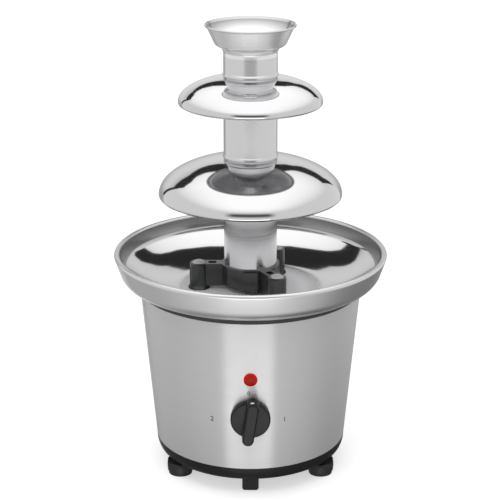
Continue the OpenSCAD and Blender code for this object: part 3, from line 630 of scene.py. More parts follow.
class Slot(Enum):
    """Material slots of the record, each with the finish that it stands for."""

    # A clear mirror on the tiers, and a soft grey with a bright band on the housing
    POLISHED_STEEL = PolishedSteel("mirror_buffed_stainless_steel", "#c8c8c9", 0.06)
    SATIN_STEEL = BrushedSteel("brushed_stainless_steel", "#cfcfd0", 0.42, anisotropy=1.0)
    # Cool grey, pale grey and yellow metal of the pieces inside, and copper red of the motor's coils
    ZINC_STEEL = Worked("zinc_plated_steel", "#b4b6b8", 0.38)
    ALUMINIUM = Worked("rolled_aluminium", "#c4c6c9", 0.42)
    BRASS = Worked("turned_brass", "#cba35c", 0.32)
    WINDING = Wound("enamelled_copper_wire", "#a9622e", 0.3, 0.6)
    # Charcoal with a sheen, near black with a faint sheen, and two kinds of matt black
    BLACK_PLASTIC = Moulded("moulded_black_polypropylene", "#343536", 0.2)
    KNOB_BLACK = Moulded("moulded_black_phenolic", "#141415", 0.3, grain=0.4, depth=0.006, gloss=0.22)
    FOOT_BLACK = Moulded("moulded_black_polyamide", "#232324", 0.42)
    BLACK_RUBBER = Moulded("black_silicone_rubber", "#2a2a2b", 0.6, grain=0.7)
    # Pale grey and ivory, both with a soft sheen, and a clear red
    PIN_GREY = Moulded("grey_polyamide", "#dcdddf", 0.34)
    WHITE_NYLON = Moulded("natural_polyamide", "#e2e0d8", 0.4)
    LAMP_RED = Lens("red_acrylic", "#e0160a", 0.2)


# Flat black and flat white print
DIAL_INK = Moulded("black_screen_ink", "#2b2b2d", 0.5, grain=0.3, depth=0.004)
POINTER_INK = Moulded("white_filled_ink", "#e9e9e6", 0.5, grain=0.3, depth=0.004)
# Deep black that hardly mirrors the table
BASE_BLACK = Moulded("moulded_black_abs", "#1b1b1c", 0.35, gloss=0.2)
# A mirror dish round a satin floor, with painted light that makes the floor paler and a painted dark
# reflection on the rim band
BOWL_STEEL = PolishedSteel("spun_stainless_bowl", "#c8c8c9", 0.06, satin=0.9)
# Soft bright steel with hardly any lines
SATIN_TUBE = BrushedSteel("satin_drawn_stainless_tube", "#c8c8c9", 0.2, line_depth=0.0006)
SPUN_CUP = BrushedSteel("spun_stainless_cup", "#dcdcdd", 0.22, line_depth=0.0006)


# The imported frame


@dataclass
class Frame:
    """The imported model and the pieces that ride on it."""

    nodes: dict[str, bpy.types.Object]
    body_of: dict[str, str]
    slot_of: dict[str, str]

    @classmethod
    def load(cls) -> Frame:
        """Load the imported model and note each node's body and slot.

        Returns:
            The frame.
        """
        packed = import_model()
        behaviour, subparts = packed["record"]["behaviour"], packed["record"]["subparts"]
        body_of = {node: body for body, nodes in behaviour["bodies"].items() for node in nodes}
        return cls(packed["nodes"], body_of, {part["node"]: part["material_slot"] for part in subparts})

    def finish_of(self, node: str) -> Finish:
        """Finish of a node's slot."""
        return Slot[self.slot_of[node].upper()].value

    def dress(self, *nodes: str) -> None:
        """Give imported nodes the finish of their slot.

        Args:
            nodes: Names of the nodes.
        """
        for name in nodes:
            materials = self.nodes[name].data.materials
            materials.clear()
            materials.append(self.finish_of(name).material())
            LOG.info("dressed %s", name)

    def add(
        self,
        name: str,
        surface: Surface,
        *replaced: str,
        on: str | None = None,
        finish: Finish | None = None,
        sharp: float = SHARP_ANGLE,
    ) -> bpy.types.Object:
        """Make a mesh piece that rides on a body.

        Args:
            name: Name of the piece.
            surface: Its points in millimetres and its faces.
            replaced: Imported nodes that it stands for.
            on: Node whose body and slot it shares, where it replaces none.
            finish: Its finish, where that isn't the slot's own.
            sharp: Angle from which an edge stays sharp.

        Returns:
            The object.
        """
        mesh = bpy.data.meshes.new(name)
        mesh.from_pydata((surface.points * MM).tolist(), [], surface.faces.tolist())
        for zone, share in surface.zones.items():
            mesh.attributes.new(zone.value, "FLOAT", "FACE").data.foreach_set("value", share)
        work = bmesh.new()
        work.from_mesh(mesh)
        bmesh.ops.remove_doubles(work, verts=work.verts, dist=MERGE_GAP * MM)
        bmesh.ops.recalc_face_normals(work, faces=work.faces)
        work.to_mesh(mesh)
        work.free()
        mesh.shade_smooth()
        mesh.set_sharp_from_angle(angle=sharp)
        piece = bpy.data.objects.new(name, mesh)
        bpy.context.collection.objects.link(piece)
        host = replaced[0] if replaced else on
        mesh.materials.append((finish or self.finish_of(host)).material())
        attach(piece, self.body_of[host])
        if replaced:
            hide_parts(*replaced)
        LOG.info("built %s: %d faces", name, len(mesh.polygons))
        return piece

    def soften(self, node: str, width: float, finish: Finish | None = None) -> None:
        """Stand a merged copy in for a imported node, with its edges rounded.

        Args:
            node: Name of the node.
            width: Width of the rounding in millimetres.
            finish: Its finish, where that isn't the slot's own.
        """
        piece = self.add(f"{node}_moulding", mesh_surface(self.nodes[node].data, MM), node, finish=finish)
        bevel = piece.modifiers.new("edge", "BEVEL")
        bevel.width = width * MM
        bevel.segments = EDGE_STEPS
        bevel.limit_method = "ANGLE"
        bevel.angle_limit = SHARP_ANGLE


# Sub-assemblies


@dataclass
class Housing:
    """Conical housing with its base, gasket, gland and dial numbers."""

    foot_r: float = 82.2
    foot_z: float = 26.0
    top_r: float = 94.4
    top_z: float = 160.0
    base_edge: float = 0.6
    ink_t: float = 0.06
    # Numbers round the knob: what they say, their size, and the place of their middle across and up
    numbers: tuple[tuple[str, float, float, float], ...] = (
        ("0", 4.8, -1.6, 21.4),
        ("1", 6.2, 28.8, -5.0),
        ("2", 6.2, -32.6, -5.0),
    )

    @property
    def lean(self) -> float:
        """Lean of the cone from upright, in radians."""
        return math.atan((self.top_r - self.foot_r) / (self.top_z - self.foot_z))

    def radius(self, height: np.ndarray | float) -> np.ndarray | float:
        """Radius of the cone at a height."""
        return self.foot_r + (height - self.foot_z) * math.tan(self.lean)

    def on_face(self, surface: Surface, height: float) -> Surface:
        """Stand a surface on the cone's front, its own +Z out of the face and its +Y up it.

        Args:
            surface: Surface round the origin.
            height: Height on the cone.

        Returns:
            The surface in the fountain's own frame.
        """
        cos, sin = math.cos(self.lean), math.sin(self.lean)
        turn = np.array([[1, 0, 0], [0, -sin, cos], [0, -cos, -sin]])
        return Surface(surface.points @ turn + [0, -self.radius(height), height], surface.faces)

    def wrapped(self, surface: Surface, height: float) -> Surface:
        """Wrap a flat surface round the cone's front.

        A point's X becomes an arc at the radius of its height, its Y runs up the slope, and its Z
        stands out of the face.

        Args:
            surface: Flat surface round the origin.
            height: Height of the origin on the cone.

        Returns:
            The wrapped surface.
        """
        x, y, out = surface.points.T
        level = height + y * math.cos(self.lean)
        angle = x / self.radius(level)
        radius, rise = self.radius(level) + out * math.cos(self.lean), level - out * math.sin(self.lean)
        points = np.stack([radius * np.sin(angle), -radius * np.cos(angle), rise], axis=1)
        return Surface(points, surface.faces)

    def number(self, text: str, size: float, across: float, up: float) -> Surface:
        """Make a number as a thin flat solid.

        Args:
            text: What it says.
            size: Size of its type.
            across: Place of its middle to the right.
            up: Place of its middle upwards.

        Returns:
            The number, flat round the origin.
        """
        curve = bpy.data.curves.new("number", "FONT")
        curve.body, curve.size, curve.extrude = text, size, self.ink_t / 2
        curve.align_x, curve.align_y = "CENTER", "CENTER"
        drawn = bpy.data.objects.new("number", curve)
        mesh = bpy.data.meshes.new_from_object(drawn)
        work = bmesh.new()
        work.from_mesh(mesh)
        bmesh.ops.triangulate(work, faces=work.faces)
        work.to_mesh(mesh)
        work.free()
        flat = mesh_surface(mesh, 1.0)
        bpy.data.objects.remove(drawn)
        bpy.data.curves.remove(curve)
        bpy.data.meshes.remove(mesh)
        return Surface(flat.points + [across, up, self.ink_t / 2], flat.faces)

    def build(self, frame: Frame, knob_z: float) -> None:
        """Dress the housing and draw the numbers round the knob.

        Args:
            frame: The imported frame.
            knob_z: Height of the knob's axis.
        """
        frame.dress("housing_shell", "bowl_gasket", "cord_gland", "foot_inserts")
        frame.soften("base_plate", self.base_edge, BASE_BLACK)
        for text, size, across, up in self.numbers:
            flat = self.wrapped(self.number(text, size, across, up), knob_z)
            frame.add(f"dial_number_{text}", flat, on="housing_shell", finish=DIAL_INK)


@dataclass
class Bowl:
    """Polished bowl: floor, dish, rim band, rolled lip and turned-under skirt, with its pins."""

    thickness: float = 1.0
    hole_r: float = 6.2
    floor_z: float = 158.0
    floor_r: float = 52.0
    dish_r: float = 93.0
    # The crease between dish and rim band: a point on the band's line, and the fillet's radius
    crease: tuple[float, float] = (109.4, 179.3)
    crease_round: float = 7.0
    lip_r: float = 115.9
    lip_z: float = 192.0
    lip_round: float = 2.4
    skirt_lean: float = 19.0
    skirt_round: float = 16.0
    skirt_z: float = 165.0
    skirt_foot_r: float = 93.8
    pin_edge: float = 0.5
    # Steps round the axis and along each stretch of the section
    ring_steps: int = 256
    floor_steps: int = 23
    dish_steps: int = 48
    crease_steps: int = 16
    band_steps: int = 11
    lip_steps: int = 24
    bend_steps: int = 32
    # Share of the satin finish on floor, rim band, skirt and underside
    floor_satin: float = 1.0
    rim_satin: float = 0.26
    skirt_satin: float = 0.26
    under_satin: float = 0.31
    # Share of the painted dark reflection at the top and at the foot of the rim band, and of the painted
    # light that makes the floor paler
    rim_dull: float = 1.0
    band_foot: float = 0.4
    floor_pale: float = 0.95
    # Radius up to which the floor is fully satin, and where the mirror begins
    satin_r: float = 46.0
    fade_r: float = 62.0

    def stretches(self) -> dict[Stretch, np.ndarray]:
        """Draw the upper face of the bowl's sheet as stretches, from its centre hole to its skirt's foot.

        The rim band runs straight through the crease and touches the lip's circle. The dish is an arc
        that leaves the floor level, and the crease is a fillet that touches it and the band: its centre
        lies its own radius off the band, and the difference of both radii from the dish's centre. The
        skirt leaves the lip's circle straight and turns under by a fillet that touches it and the level
        of its foot.

        Returns:
            Points of each stretch, as radius and height.
        """
        lip = (self.lip_r - self.lip_round, self.lip_z - self.lip_round)
        to_lip = (lip[0] - self.crease[0], lip[1] - self.crease[1])
        slope = math.atan2(to_lip[1], to_lip[0]) + math.asin(self.lip_round / math.hypot(*to_lip))
        along = np.array([math.cos(slope), math.sin(slope)])
        inward = np.array([-along[1], along[0]])
        dish = np.array([self.floor_r, self.floor_z + self.dish_r])
        start = self.crease + self.crease_round * inward - dish
        half = start @ along
        reach = math.sqrt(half**2 - start @ start + (self.dish_r - self.crease_round) ** 2)
        turn = start - (half + reach) * along
        angle = math.degrees(math.atan2(turn[1], turn[0]))
        lean = math.radians(self.skirt_lean)
        lip_end = (lip[0] + self.lip_round * math.cos(lean), lip[1] - self.lip_round * math.sin(lean))
        run_foot = lip_end[0] - (lip_end[1] - self.skirt_z) * math.tan(lean)
        bend_r = run_foot - self.skirt_round * (1 - math.sin(lean)) / math.cos(lean)
        band = math.degrees(slope)
        floor = np.linspace((self.hole_r, self.floor_z), (self.floor_r, self.floor_z), self.floor_steps + 1)
        crease = arc(dish + turn, self.crease_round, angle, band - 90, self.crease_steps)
        roll = arc(lip, self.lip_round, band + 90, -self.skirt_lean, self.lip_steps)
        bend = (bend_r, self.skirt_z + self.skirt_round)
        return {
            Stretch.FLOOR: floor[:-1],
            Stretch.DISH: arc(dish, self.dish_r, -90, angle, self.dish_steps),
            Stretch.CREASE: crease[1:],
            Stretch.BAND: np.linspace(crease[-1], roll[0], self.band_steps + 1)[1:-1],
            Stretch.LIP: roll,
            Stretch.SKIRT: arc(bend, self.skirt_round, -self.skirt_lean, -90, self.bend_steps),
            Stretch.FOOT: np.array([(self.skirt_foot_r, self.skirt_z)]),
        }

    def zones(self, path: np.ndarray, at: np.ndarray) -> dict[Zone, np.ndarray]:
        """Say how satin each edge of the sheet's section is, and how much painted light and painted dark
        reflection it has.

        The satin floor, paler by painted light, fades into the mirror dish by a straight line over the
        radius, the painted dark reflection grows over the crease and the band by straight lines, and the
        other stretches are even.

        Args:
            path: Upper face of the sheet.
            at: Stretch of each of its points.

        Returns:
            Share on each edge of the closed section, by zone.
        """
        fade = np.clip((self.fade_r - path[:, 0]) / (self.fade_r - self.satin_r), 0, 1)
        pale = np.where(np.isin(at, [Stretch.FLOOR, Stretch.DISH]), fade, 0)
        crease, band = at == Stretch.CREASE, at == Stretch.BAND
        rise = np.zeros(len(path))
        rise[crease] = np.linspace(0, self.band_foot, crease.sum())
        rise[band] = np.linspace(self.band_foot, 1, band.sum())
        satin = self.floor_satin * pale + self.rim_satin * rise
        satin[np.isin(at, [Stretch.LIP, Stretch.SKIRT, Stretch.FOOT])] = self.skirt_satin
        # Painted dark reflection on the rim band; below zero, painted light on the floor under the dome
        painted_light_and_shade = self.rim_dull * rise - self.floor_pale * pale
        under = np.full(len(path), self.under_satin)
        return {
            Zone.SATIN: np.concatenate([satin, under]),
            Zone.DULL: np.concatenate([painted_light_and_shade, np.zeros(len(path))]),
        }

    def build(self, frame: Frame) -> None:
        """Make the bowl and dress what is fixed to it.

        Args:
            frame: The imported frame.
        """
        path, at = labelled(self.stretches())
        turned = spin(sheet(path, self.thickness), self.ring_steps, zones=self.zones(path, at))
        frame.add("bowl_sheet", turned, "bowl", finish=BOWL_STEEL)
        frame.soften("locating_pins", self.pin_edge)
        frame.dress("pin_nuts", "heat_spreader", "heater_ring", "thermostat", "shaft_bush", "shaft_seal")


@dataclass
class Tower:
    """Black tower base, stacked tubes, two domed tiers, the crown and the auger inside."""

    wall: float = 0.8
    tube_r: float = 22.5
    tube_foot: float = 165.2
    # Each tier's widest line: its height and radius, and the height of the full ellipse above it
    large: tuple[float, float, float] = (242.3, 77.2, 31.6)
    small: tuple[float, float, float] = (321.3, 60.1, 21.5)
    # The rolled rim's radius and its last angle in degrees
    roll: float = 2.6
    roll_end: float = -130.0
    # The bead, seat and spigot by which the tubes stack
    bead_h: float = 5.0
    bead_proud: float = 0.8
    seat_draw: float = 0.25
    seat_t: float = 1.0
    spigot_r: float = 21.6
    spigot_l: float = 17.0
    # The crown: its tube above the bead, and its cup
    crown_tube_h: float = 16.4
    cup_h: float = 22.6
    cup_r: float = 37.8
    # Corners of the cup's outer wall above the tube, as radius and height, and their rounding
    cup_wall: tuple[tuple[float, float], ...] = ((24.1, 3.4), (27.4, 5.0), (29.6, 6.6), (31.6, 11.0))
    cup_round: float = 3.0
    # The lip is a bead on the wall's end: its radius, its first and last angle, and its drop to the wall
    cup_lip: float = 0.9
    lip_arc: tuple[float, float] = (-40.0, 170.0)
    lip_drop: float = 1.26
    base_edge: float = 0.5
    auger_sharp: float = 50.0
    # Steps along each stretch of the sections
    dome_steps: int = 71
    roll_steps: int = 20
    bead_steps: int = 24
    wall_steps: int = 11
    lip_steps: int = 16
    # Satin share and painted shade inside the tiers, painted shade on the crown's tube and on the cup's lip,
    # and how far the painted shade reaches down inside the cup
    inner_satin: float = 0.4
    inner_dull: float = 0.1
    tube_dull: float = 0.3
    lip_dull: float = 0.5
    cup_shade: float = 9.0

    def top(self, tier: tuple[float, float, float]) -> float:
        """Height at which a tier's ellipse meets the tube."""
        z, r, h = tier
        return z + h * math.sqrt(1 - (self.tube_r / r) ** 2)

    def dome(self, tier: tuple[float, float, float]) -> Surface:
        """Spin a tier, mirror-buffed outside, with painted shade inside.

        Its outer face is an ellipse from the tube to its widest line, then an arc for the rolled rim.

        Args:
            tier: Height of the widest line, its radius, and the height of the full ellipse.

        Returns:
            The tier.
        """
        z, r, h = tier
        angle = np.linspace(math.acos(self.tube_r / r), 0, self.dome_steps + 1)[:-1]
        ellipse = np.stack([r * np.cos(angle), z + h * np.sin(angle)], axis=1)
        rim = arc((r - self.roll, z), self.roll, 0, self.roll_end, self.roll_steps)
        outline = sheet(np.concatenate([ellipse, rim]), self.wall)
        inside = np.arange(len(outline)) >= len(outline) // 2
        # Painted shade on the tier's underside
        zones = {Zone.SATIN: self.inner_satin * inside, Zone.DULL: self.inner_dull * inside}
        return spin(outline, zones=zones)

    def stack(self, seat: float, top: float) -> np.ndarray:
        """Draw the outer face of a tube that stacks, from its top down to its spigot's end.

        The bead bulges as half a sine wave over its height, and draws in to the seat.

        Args:
            seat: Height of the seat under the bead.
            top: Height of the tube's top.

        Returns:
            Open path of radius and height.
        """
        u = np.linspace(0, 1, self.bead_steps + 1)
        bulge = self.tube_r - self.seat_draw * u + self.bead_proud * np.sin(math.pi * u)
        bead = np.stack([bulge, seat + self.bead_h * (1 - u)], axis=1)
        foot = [(self.spigot_r, seat), (self.spigot_r, seat - self.spigot_l)]
        return np.concatenate([[(self.tube_r, top)], bead, foot])

    def bore(self, seat: float, top: float) -> np.ndarray:
        """Draw the inner face of a tube that stacks, from its spigot's end up to its top.

        Args:
            seat: Height of the seat under the bead.
            top: Height of the tube's top.

        Returns:
            Open path of radius and height.
        """
        narrow, wide = self.spigot_r - self.wall, self.tube_r - self.wall
        foot = [(narrow, seat - self.spigot_l), (narrow, seat + self.seat_t)]
        return np.array([*foot, (wide, seat + self.bead_h), (wide, top)])

    def crown(self) -> Surface:
        """Spin the crown: the foot of a stacking tube, and a cup that opens above it in two steps.

        The tube is darker than the cup by painted shade, and the cup's inner wall gets more painted shade by
        a straight line towards its lip.

        Returns:
            The crown.
        """
        seat = self.top(self.small)
        rim = seat + self.bead_h + self.crown_tube_h
        tube_top = rim - self.cup_round
        lip = (self.cup_r - self.cup_lip, rim + self.cup_h - self.cup_lip)
        wall = [(self.tube_r, tube_top), (self.tube_r, rim)]
        wall += [(r, rim + up) for r, up in self.cup_wall]
        wall += [(self.cup_r - 2 * self.cup_lip, lip[1] - self.lip_drop)]
        outer = rounded(wall, self.cup_round)
        straight = np.linspace(outer[-2], outer[-1], self.wall_steps + 1)
        outer = np.concatenate([outer[:-2], straight])
        stretches = {
            Stretch.WALL: outer,
            Stretch.LIP: arc(lip, self.cup_lip, *self.lip_arc, self.lip_steps),
            Stretch.INSIDE: set_back(outer[::-1], self.wall),
            Stretch.BORE: self.bore(seat, tube_top)[::-1][1:],
            Stretch.TUBE: self.stack(seat, tube_top)[::-1][:-1],
        }
        outline, at = labelled(stretches)
        # Painted shade inside the cup, growing towards its lip; the lip and the tube get painted shade too
        near_lip = np.clip(1 - (lip[1] - outline[:, 1]) / self.cup_shade, 0, 1)
        painted_shade_stretches = [at == Stretch.INSIDE, at == Stretch.LIP, at == Stretch.TUBE]
        painted_light_and_shade = np.select(painted_shade_stretches, [near_lip, self.lip_dull, self.tube_dull])
        return spin(outline, zones={Zone.DULL: painted_light_and_shade})

    def build(self, frame: Frame) -> None:
        """Make tubes, tiers and crown, and dress the tower base and the auger.

        Args:
            frame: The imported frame.
        """
        foot, wide, narrow = self.tube_foot, self.tube_r, self.tube_r - self.wall
        low_top, high_top = self.top(self.large), self.top(self.small)
        lower = np.array([(narrow, foot), (wide, foot), (wide, low_top), (narrow, low_top)])
        middle = np.concatenate([self.stack(low_top, high_top), self.bore(low_top, high_top)])
        frame.add("lower_tube_wall", spin(lower), "lower_tube", finish=SATIN_TUBE)
        frame.add("large_tier_dome", self.dome(self.large), "large_tier")
        frame.add("middle_tube_wall", spin(middle), "middle_tube", finish=SATIN_TUBE)
        frame.add("small_tier_dome", self.dome(self.small), "small_tier")
        frame.add("crown_cup", self.crown(), "crown", finish=SPUN_CUP)
        frame.soften("tower_base", self.base_edge)
        screw = mesh_surface(frame.nodes["auger"].data, MM)
        frame.add("auger_screw", screw, "auger", sharp=math.radians(self.auger_sharp))


@dataclass
class Controls:
    """Bar knob with its pointer, the switch behind it and the pilot lamp above it."""

    # Heights of the knob's and the lamp's axis on the housing, and the knob's gap to its face
    knob_z: float = 76.0
    lamp_z: float = 110.0
    gap: float = 0.8
    # The knob: a disc with a recess behind, and a grip across it that leans by some degrees at rest
    disc_r: float = 16.5
    disc_h: float = 7.0
    disc_edge: float = 1.6
    disc_steps: int = 128
    recess_r: float = 9.0
    recess_h: float = 4.0
    grip_l: float = 40.5
    grip_w: float = 11.0
    grip_h: float = 8.5
    grip_foot: float = 2.0
    grip_draft: float = 0.8
    grip_edge: float = 1.8
    lean: float = 8.0
    # The pointer mark: its size, its distance from the grip's edge, and its turn round the end in degrees
    pointer_w: float = 3.6
    pointer_l: float = 2.2
    pointer_in: float = 1.6
    pointer_turn: float = -14.0
    pointer_steps: int = 32
    ink_t: float = 0.1
    # The lamp's lens, and the stem behind it
    lamp_r: float = 5.7
    lamp_h: float = 2.4
    lens_edge: float = 0.8
    lens_seat: float = 0.15
    lens_steps: int = 12
    stem_r: float = 4.7
    stem_l: float = 14.0

    @property
    def grip_top(self) -> float:
        """Height of the grip's top above the housing's face."""
        return self.gap + self.disc_h + self.grip_h

    def turned(self, surface: Surface) -> Surface:
        """Turn a surface clockwise about its Z axis by the knob's lean at rest.

        Args:
            surface: Surface on the knob's axis.

        Returns:
            The turned surface.
        """
        cos, sin = math.cos(math.radians(self.lean)), math.sin(math.radians(self.lean))
        turn = np.array([[cos, -sin, 0], [sin, cos, 0], [0, 0, 1]])
        return Surface(surface.points @ turn, surface.faces)

    def knob(self) -> Surface:
        """Make the knob: a hollow disc with rounded edges, and a stadium-shaped grip across it.

        Returns:
            The knob on its own axis.
        """
        disc_top, half_w = self.gap + self.disc_h, self.grip_w / 2
        disc = rounded(
            [
                (0, self.gap + self.recess_h),
                (self.recess_r, self.gap + self.recess_h),
                (self.recess_r, self.gap),
                (self.disc_r, self.gap),
                (self.disc_r, disc_top),
                (0, disc_top),
            ],
            self.disc_edge,
        )
        grip = rounded(
            [
                (0, disc_top - self.grip_foot),
                (half_w, self.gap + self.grip_foot),
                (half_w - self.grip_draft, self.grip_top),
                (0, self.grip_top),
            ],
            self.grip_edge,
        )
        return spin(disc, self.disc_steps).joined(spin(grip, SMALL_STEPS, self.grip_l / 2 - half_w))

    def pointer(self) -> Surface:
        """Make the pointer mark: a thin stadium bent round the grip's upper end, near its top.

        Its width becomes an arc about the end's centre, and its thickness a step along the arc's radius.

        Returns:
            The mark on the knob's axis.
        """
        r, t, half_w = self.pointer_l / 2, self.ink_t, self.grip_w / 2
        section = np.array([(0, -t), (r, -t), (r, t), (0, t)])
        mark = spin(section, self.pointer_steps, self.pointer_w / 2 - r)
        rise, wide, out = mark.points.T
        up = self.grip_top - self.grip_edge - self.pointer_in + rise
        foot = self.gap + self.grip_foot
        end_r = half_w - self.grip_draft * (up - foot) / (self.grip_top - foot)
        angle = wide / half_w + math.radians(self.pointer_turn)
        across = (end_r + out) * np.sin(angle)
        along = self.grip_l / 2 - half_w + (end_r + out) * np.cos(angle)
        return Surface(np.stack([across, along, up], axis=1), mark.faces)

    def lens(self) -> Surface:
        """Make the lens: a low dome, the cap of the sphere through its edge and its crown, on a stem.

        Returns:
            The lens on its own axis.
        """
        rise = self.lamp_h - self.lens_edge
        round_r = (self.lamp_r**2 + rise**2) / (2 * rise)
        half = math.degrees(math.asin(self.lamp_r / round_r))
        cap = arc((0, self.lens_seat + self.lamp_h - round_r), round_r, 90 - half, 90, self.lens_steps)
        stem = [(0, -self.stem_l), (self.stem_r, -self.stem_l), (self.stem_r, self.lens_seat)]
        return spin(np.concatenate([stem, [(self.lamp_r, self.lens_seat)], cap]), SMALL_STEPS)

    def build(self, frame: Frame, housing: Housing) -> None:
        """Make the knob, its pointer and the lens, and dress the switch.

        Args:
            frame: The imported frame.
            housing: The cone that they stand on.
        """
        frame.add("bar_knob", housing.on_face(self.turned(self.knob()), self.knob_z), "control_knob")
        mark = housing.on_face(self.turned(self.pointer()), self.knob_z)
        frame.add("knob_pointer", mark, on="control_knob", finish=POINTER_INK)
        frame.add("lamp_lens", housing.on_face(self.lens(), self.lamp_z), "pilot_lamp_lens")
        frame.dress("pilot_lamp_body", "rotary_switch", "switch_nut", "switch_shaft")


@dataclass
class Feet:
    """Three screw feet on their pads."""

    edge: float = 0.7
    places: tuple[str, ...] = ("left", "right", "rear")

    def build(self, frame: Frame) -> None:
        """Round the feet's edges and dress their pads.

        Args:
            frame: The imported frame.
        """
        for place in self.places:
            frame.soften(f"levelling_foot_{place}", self.edge)
            frame.dress(f"foot_pad_{place}")


@dataclass
class Drive:
    """Motor, gears and clamping rods inside the housing."""

    clamps: tuple[str, ...] = ("tie_rods", "rod_spacers", "rod_nuts", "motor_bracket", "motor_screws")
    motor: tuple[str, ...] = ("motor_case", "stator", "rotor_core", "rotor_shaft")
    gear_box: tuple[str, ...] = ("gear_case", "gear_plate", "idler_pin")
    gears: tuple[str, ...] = ("idler_gear", "output_gear", "drive_shaft")

    def build(self, frame: Frame) -> None:
        """Dress the drive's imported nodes."""
        frame.dress(*self.clamps, *self.motor, *self.gear_box, *self.gears)


# Studio


def stage_sheet(name: str, corners: Corners, material: bpy.types.Material) -> bpy.types.Object:
    """Set up one flat face as a part of the stage.

    Args:
        name: Name of the sheet.
        corners: Its corners in millimetres.
        material: Its material.

    Returns:
        The object.
    """
    mesh = bpy.data.meshes.new(name)
    mesh.from_pydata((np.array(corners) * MM).tolist(), [], [tuple(range(len(corners)))])
    mesh.materials.append(material)
    made = bpy.data.objects.new(name, mesh)
    bpy.context.collection.objects.link(made)
    return made


@dataclass(frozen=True)
class Card:
    """A stretch of the table or the room outside the tent, as the steel sees it.

    Azimuth runs to the right from the fountain's front, elevation up from level, both in degrees. The
    softness of the left, right, lower and upper edge is in degrees too.
    """

    azimuth: tuple[float, float]
    elevation: tuple[float, float]
    level: float
    soft: tuple[float, float, float, float]

    def mask(self, tree: Tree, azimuth: Socket, elevation: Socket) -> Socket:
        """Mask the card by a smooth step at each of its four edges.

        Args:
            tree: Node tree of the world.
            azimuth: Azimuth of a direction.
            elevation: Its elevation.

        Returns:
            Socket of the mask, 1 on the card and 0 off it.
        """
        measures = (azimuth, azimuth, elevation, elevation)
        edges = np.radians((*self.azimuth, *self.elevation))
        inward = np.radians(self.soft) * (1, -1, 1, -1)
        return smooth_mask(tree, list(zip(measures, edges - inward, edges + inward)))


@dataclass(frozen=True)
class Patch:
    """A brighter or darker patch of a panel: its middle, half size and blur in millimetres, and its level."""

    middle: tuple[float, float, float]
    half: tuple[float, float, float]
    blur: float
    level: float


@dataclass(frozen=True)
class Panel:
    """A lit sheet of the tent, which only reflections see: its corners in millimetres and its level.

    A clear panel gives no light, and only shades what lies behind its patch.
    """

    name: str
    corners: Corners
    level: float
    patch: Patch | None = None
    clear: bool = False

    def mask(self, tree: Tree) -> Socket:
        """Mask the patch by a smooth step along each axis.

        Args:
            tree: Node tree of the material.

        Returns:
            Socket of the mask, 1 in the patch and 0 outside it.
        """
        place = add_node(tree, "ShaderNodeTexCoord").outputs["Object"]
        middle = [value * MM for value in self.patch.middle]
        offset = add_node(tree, "ShaderNodeVectorMath", {"operation": "SUBTRACT", 1: middle}, {0: place})
        size = add_node(tree, "ShaderNodeVectorMath", {"operation": "ABSOLUTE"}, {0: offset.outputs[0]})
        axes = add_node(tree, "ShaderNodeSeparateXYZ", links={0: size.outputs[0]}).outputs
        blur = self.patch.blur
        return smooth_mask(
            tree, [(at, (half + blur) * MM, (half - blur) * MM) for at, half in zip(axes, self.patch.half)]
        )

    def material(self) -> bpy.types.Material:
        """Make the sheet's light, with its patch, or the shade that a clear sheet casts inside its patch.

        Returns:
            The sheet as a Blender material.
        """
        made = bpy.data.materials.new(f"{self.name}_light")
        tree = fresh_tree(made)
        light = add_node(tree, "ShaderNodeEmission", {"Strength": self.level})
        shown = light
        if self.clear:
            share = {"operation": "MULTIPLY", 1: self.patch.level}
            shade = add_node(tree, "ShaderNodeMath", share, {0: self.mask(tree)})
            through = add_node(tree, "ShaderNodeBsdfTransparent")
            layers = {0: shade.outputs[0], 1: through.outputs[0], 2: light.outputs[0]}
            shown = add_node(tree, "ShaderNodeMixShader", links=layers)
        elif self.patch:
            ends = {"A": self.level, "B": self.patch.level}
            level = add_node(tree, "ShaderNodeMix", ends, {"Factor": self.mask(tree)})
            tree.links.new(level.outputs[0], light.inputs["Strength"])
        add_node(tree, "ShaderNodeOutputMaterial", links={"Surface": shown.outputs[0]})
        return made

    def build(self) -> None:
        """Hang the sheet where only reflections see it."""
        hung = stage_sheet(self.name, self.corners, self.material())
        hung.visible_camera = False
        hung.visible_diffuse = False
        hung.visible_shadow = False


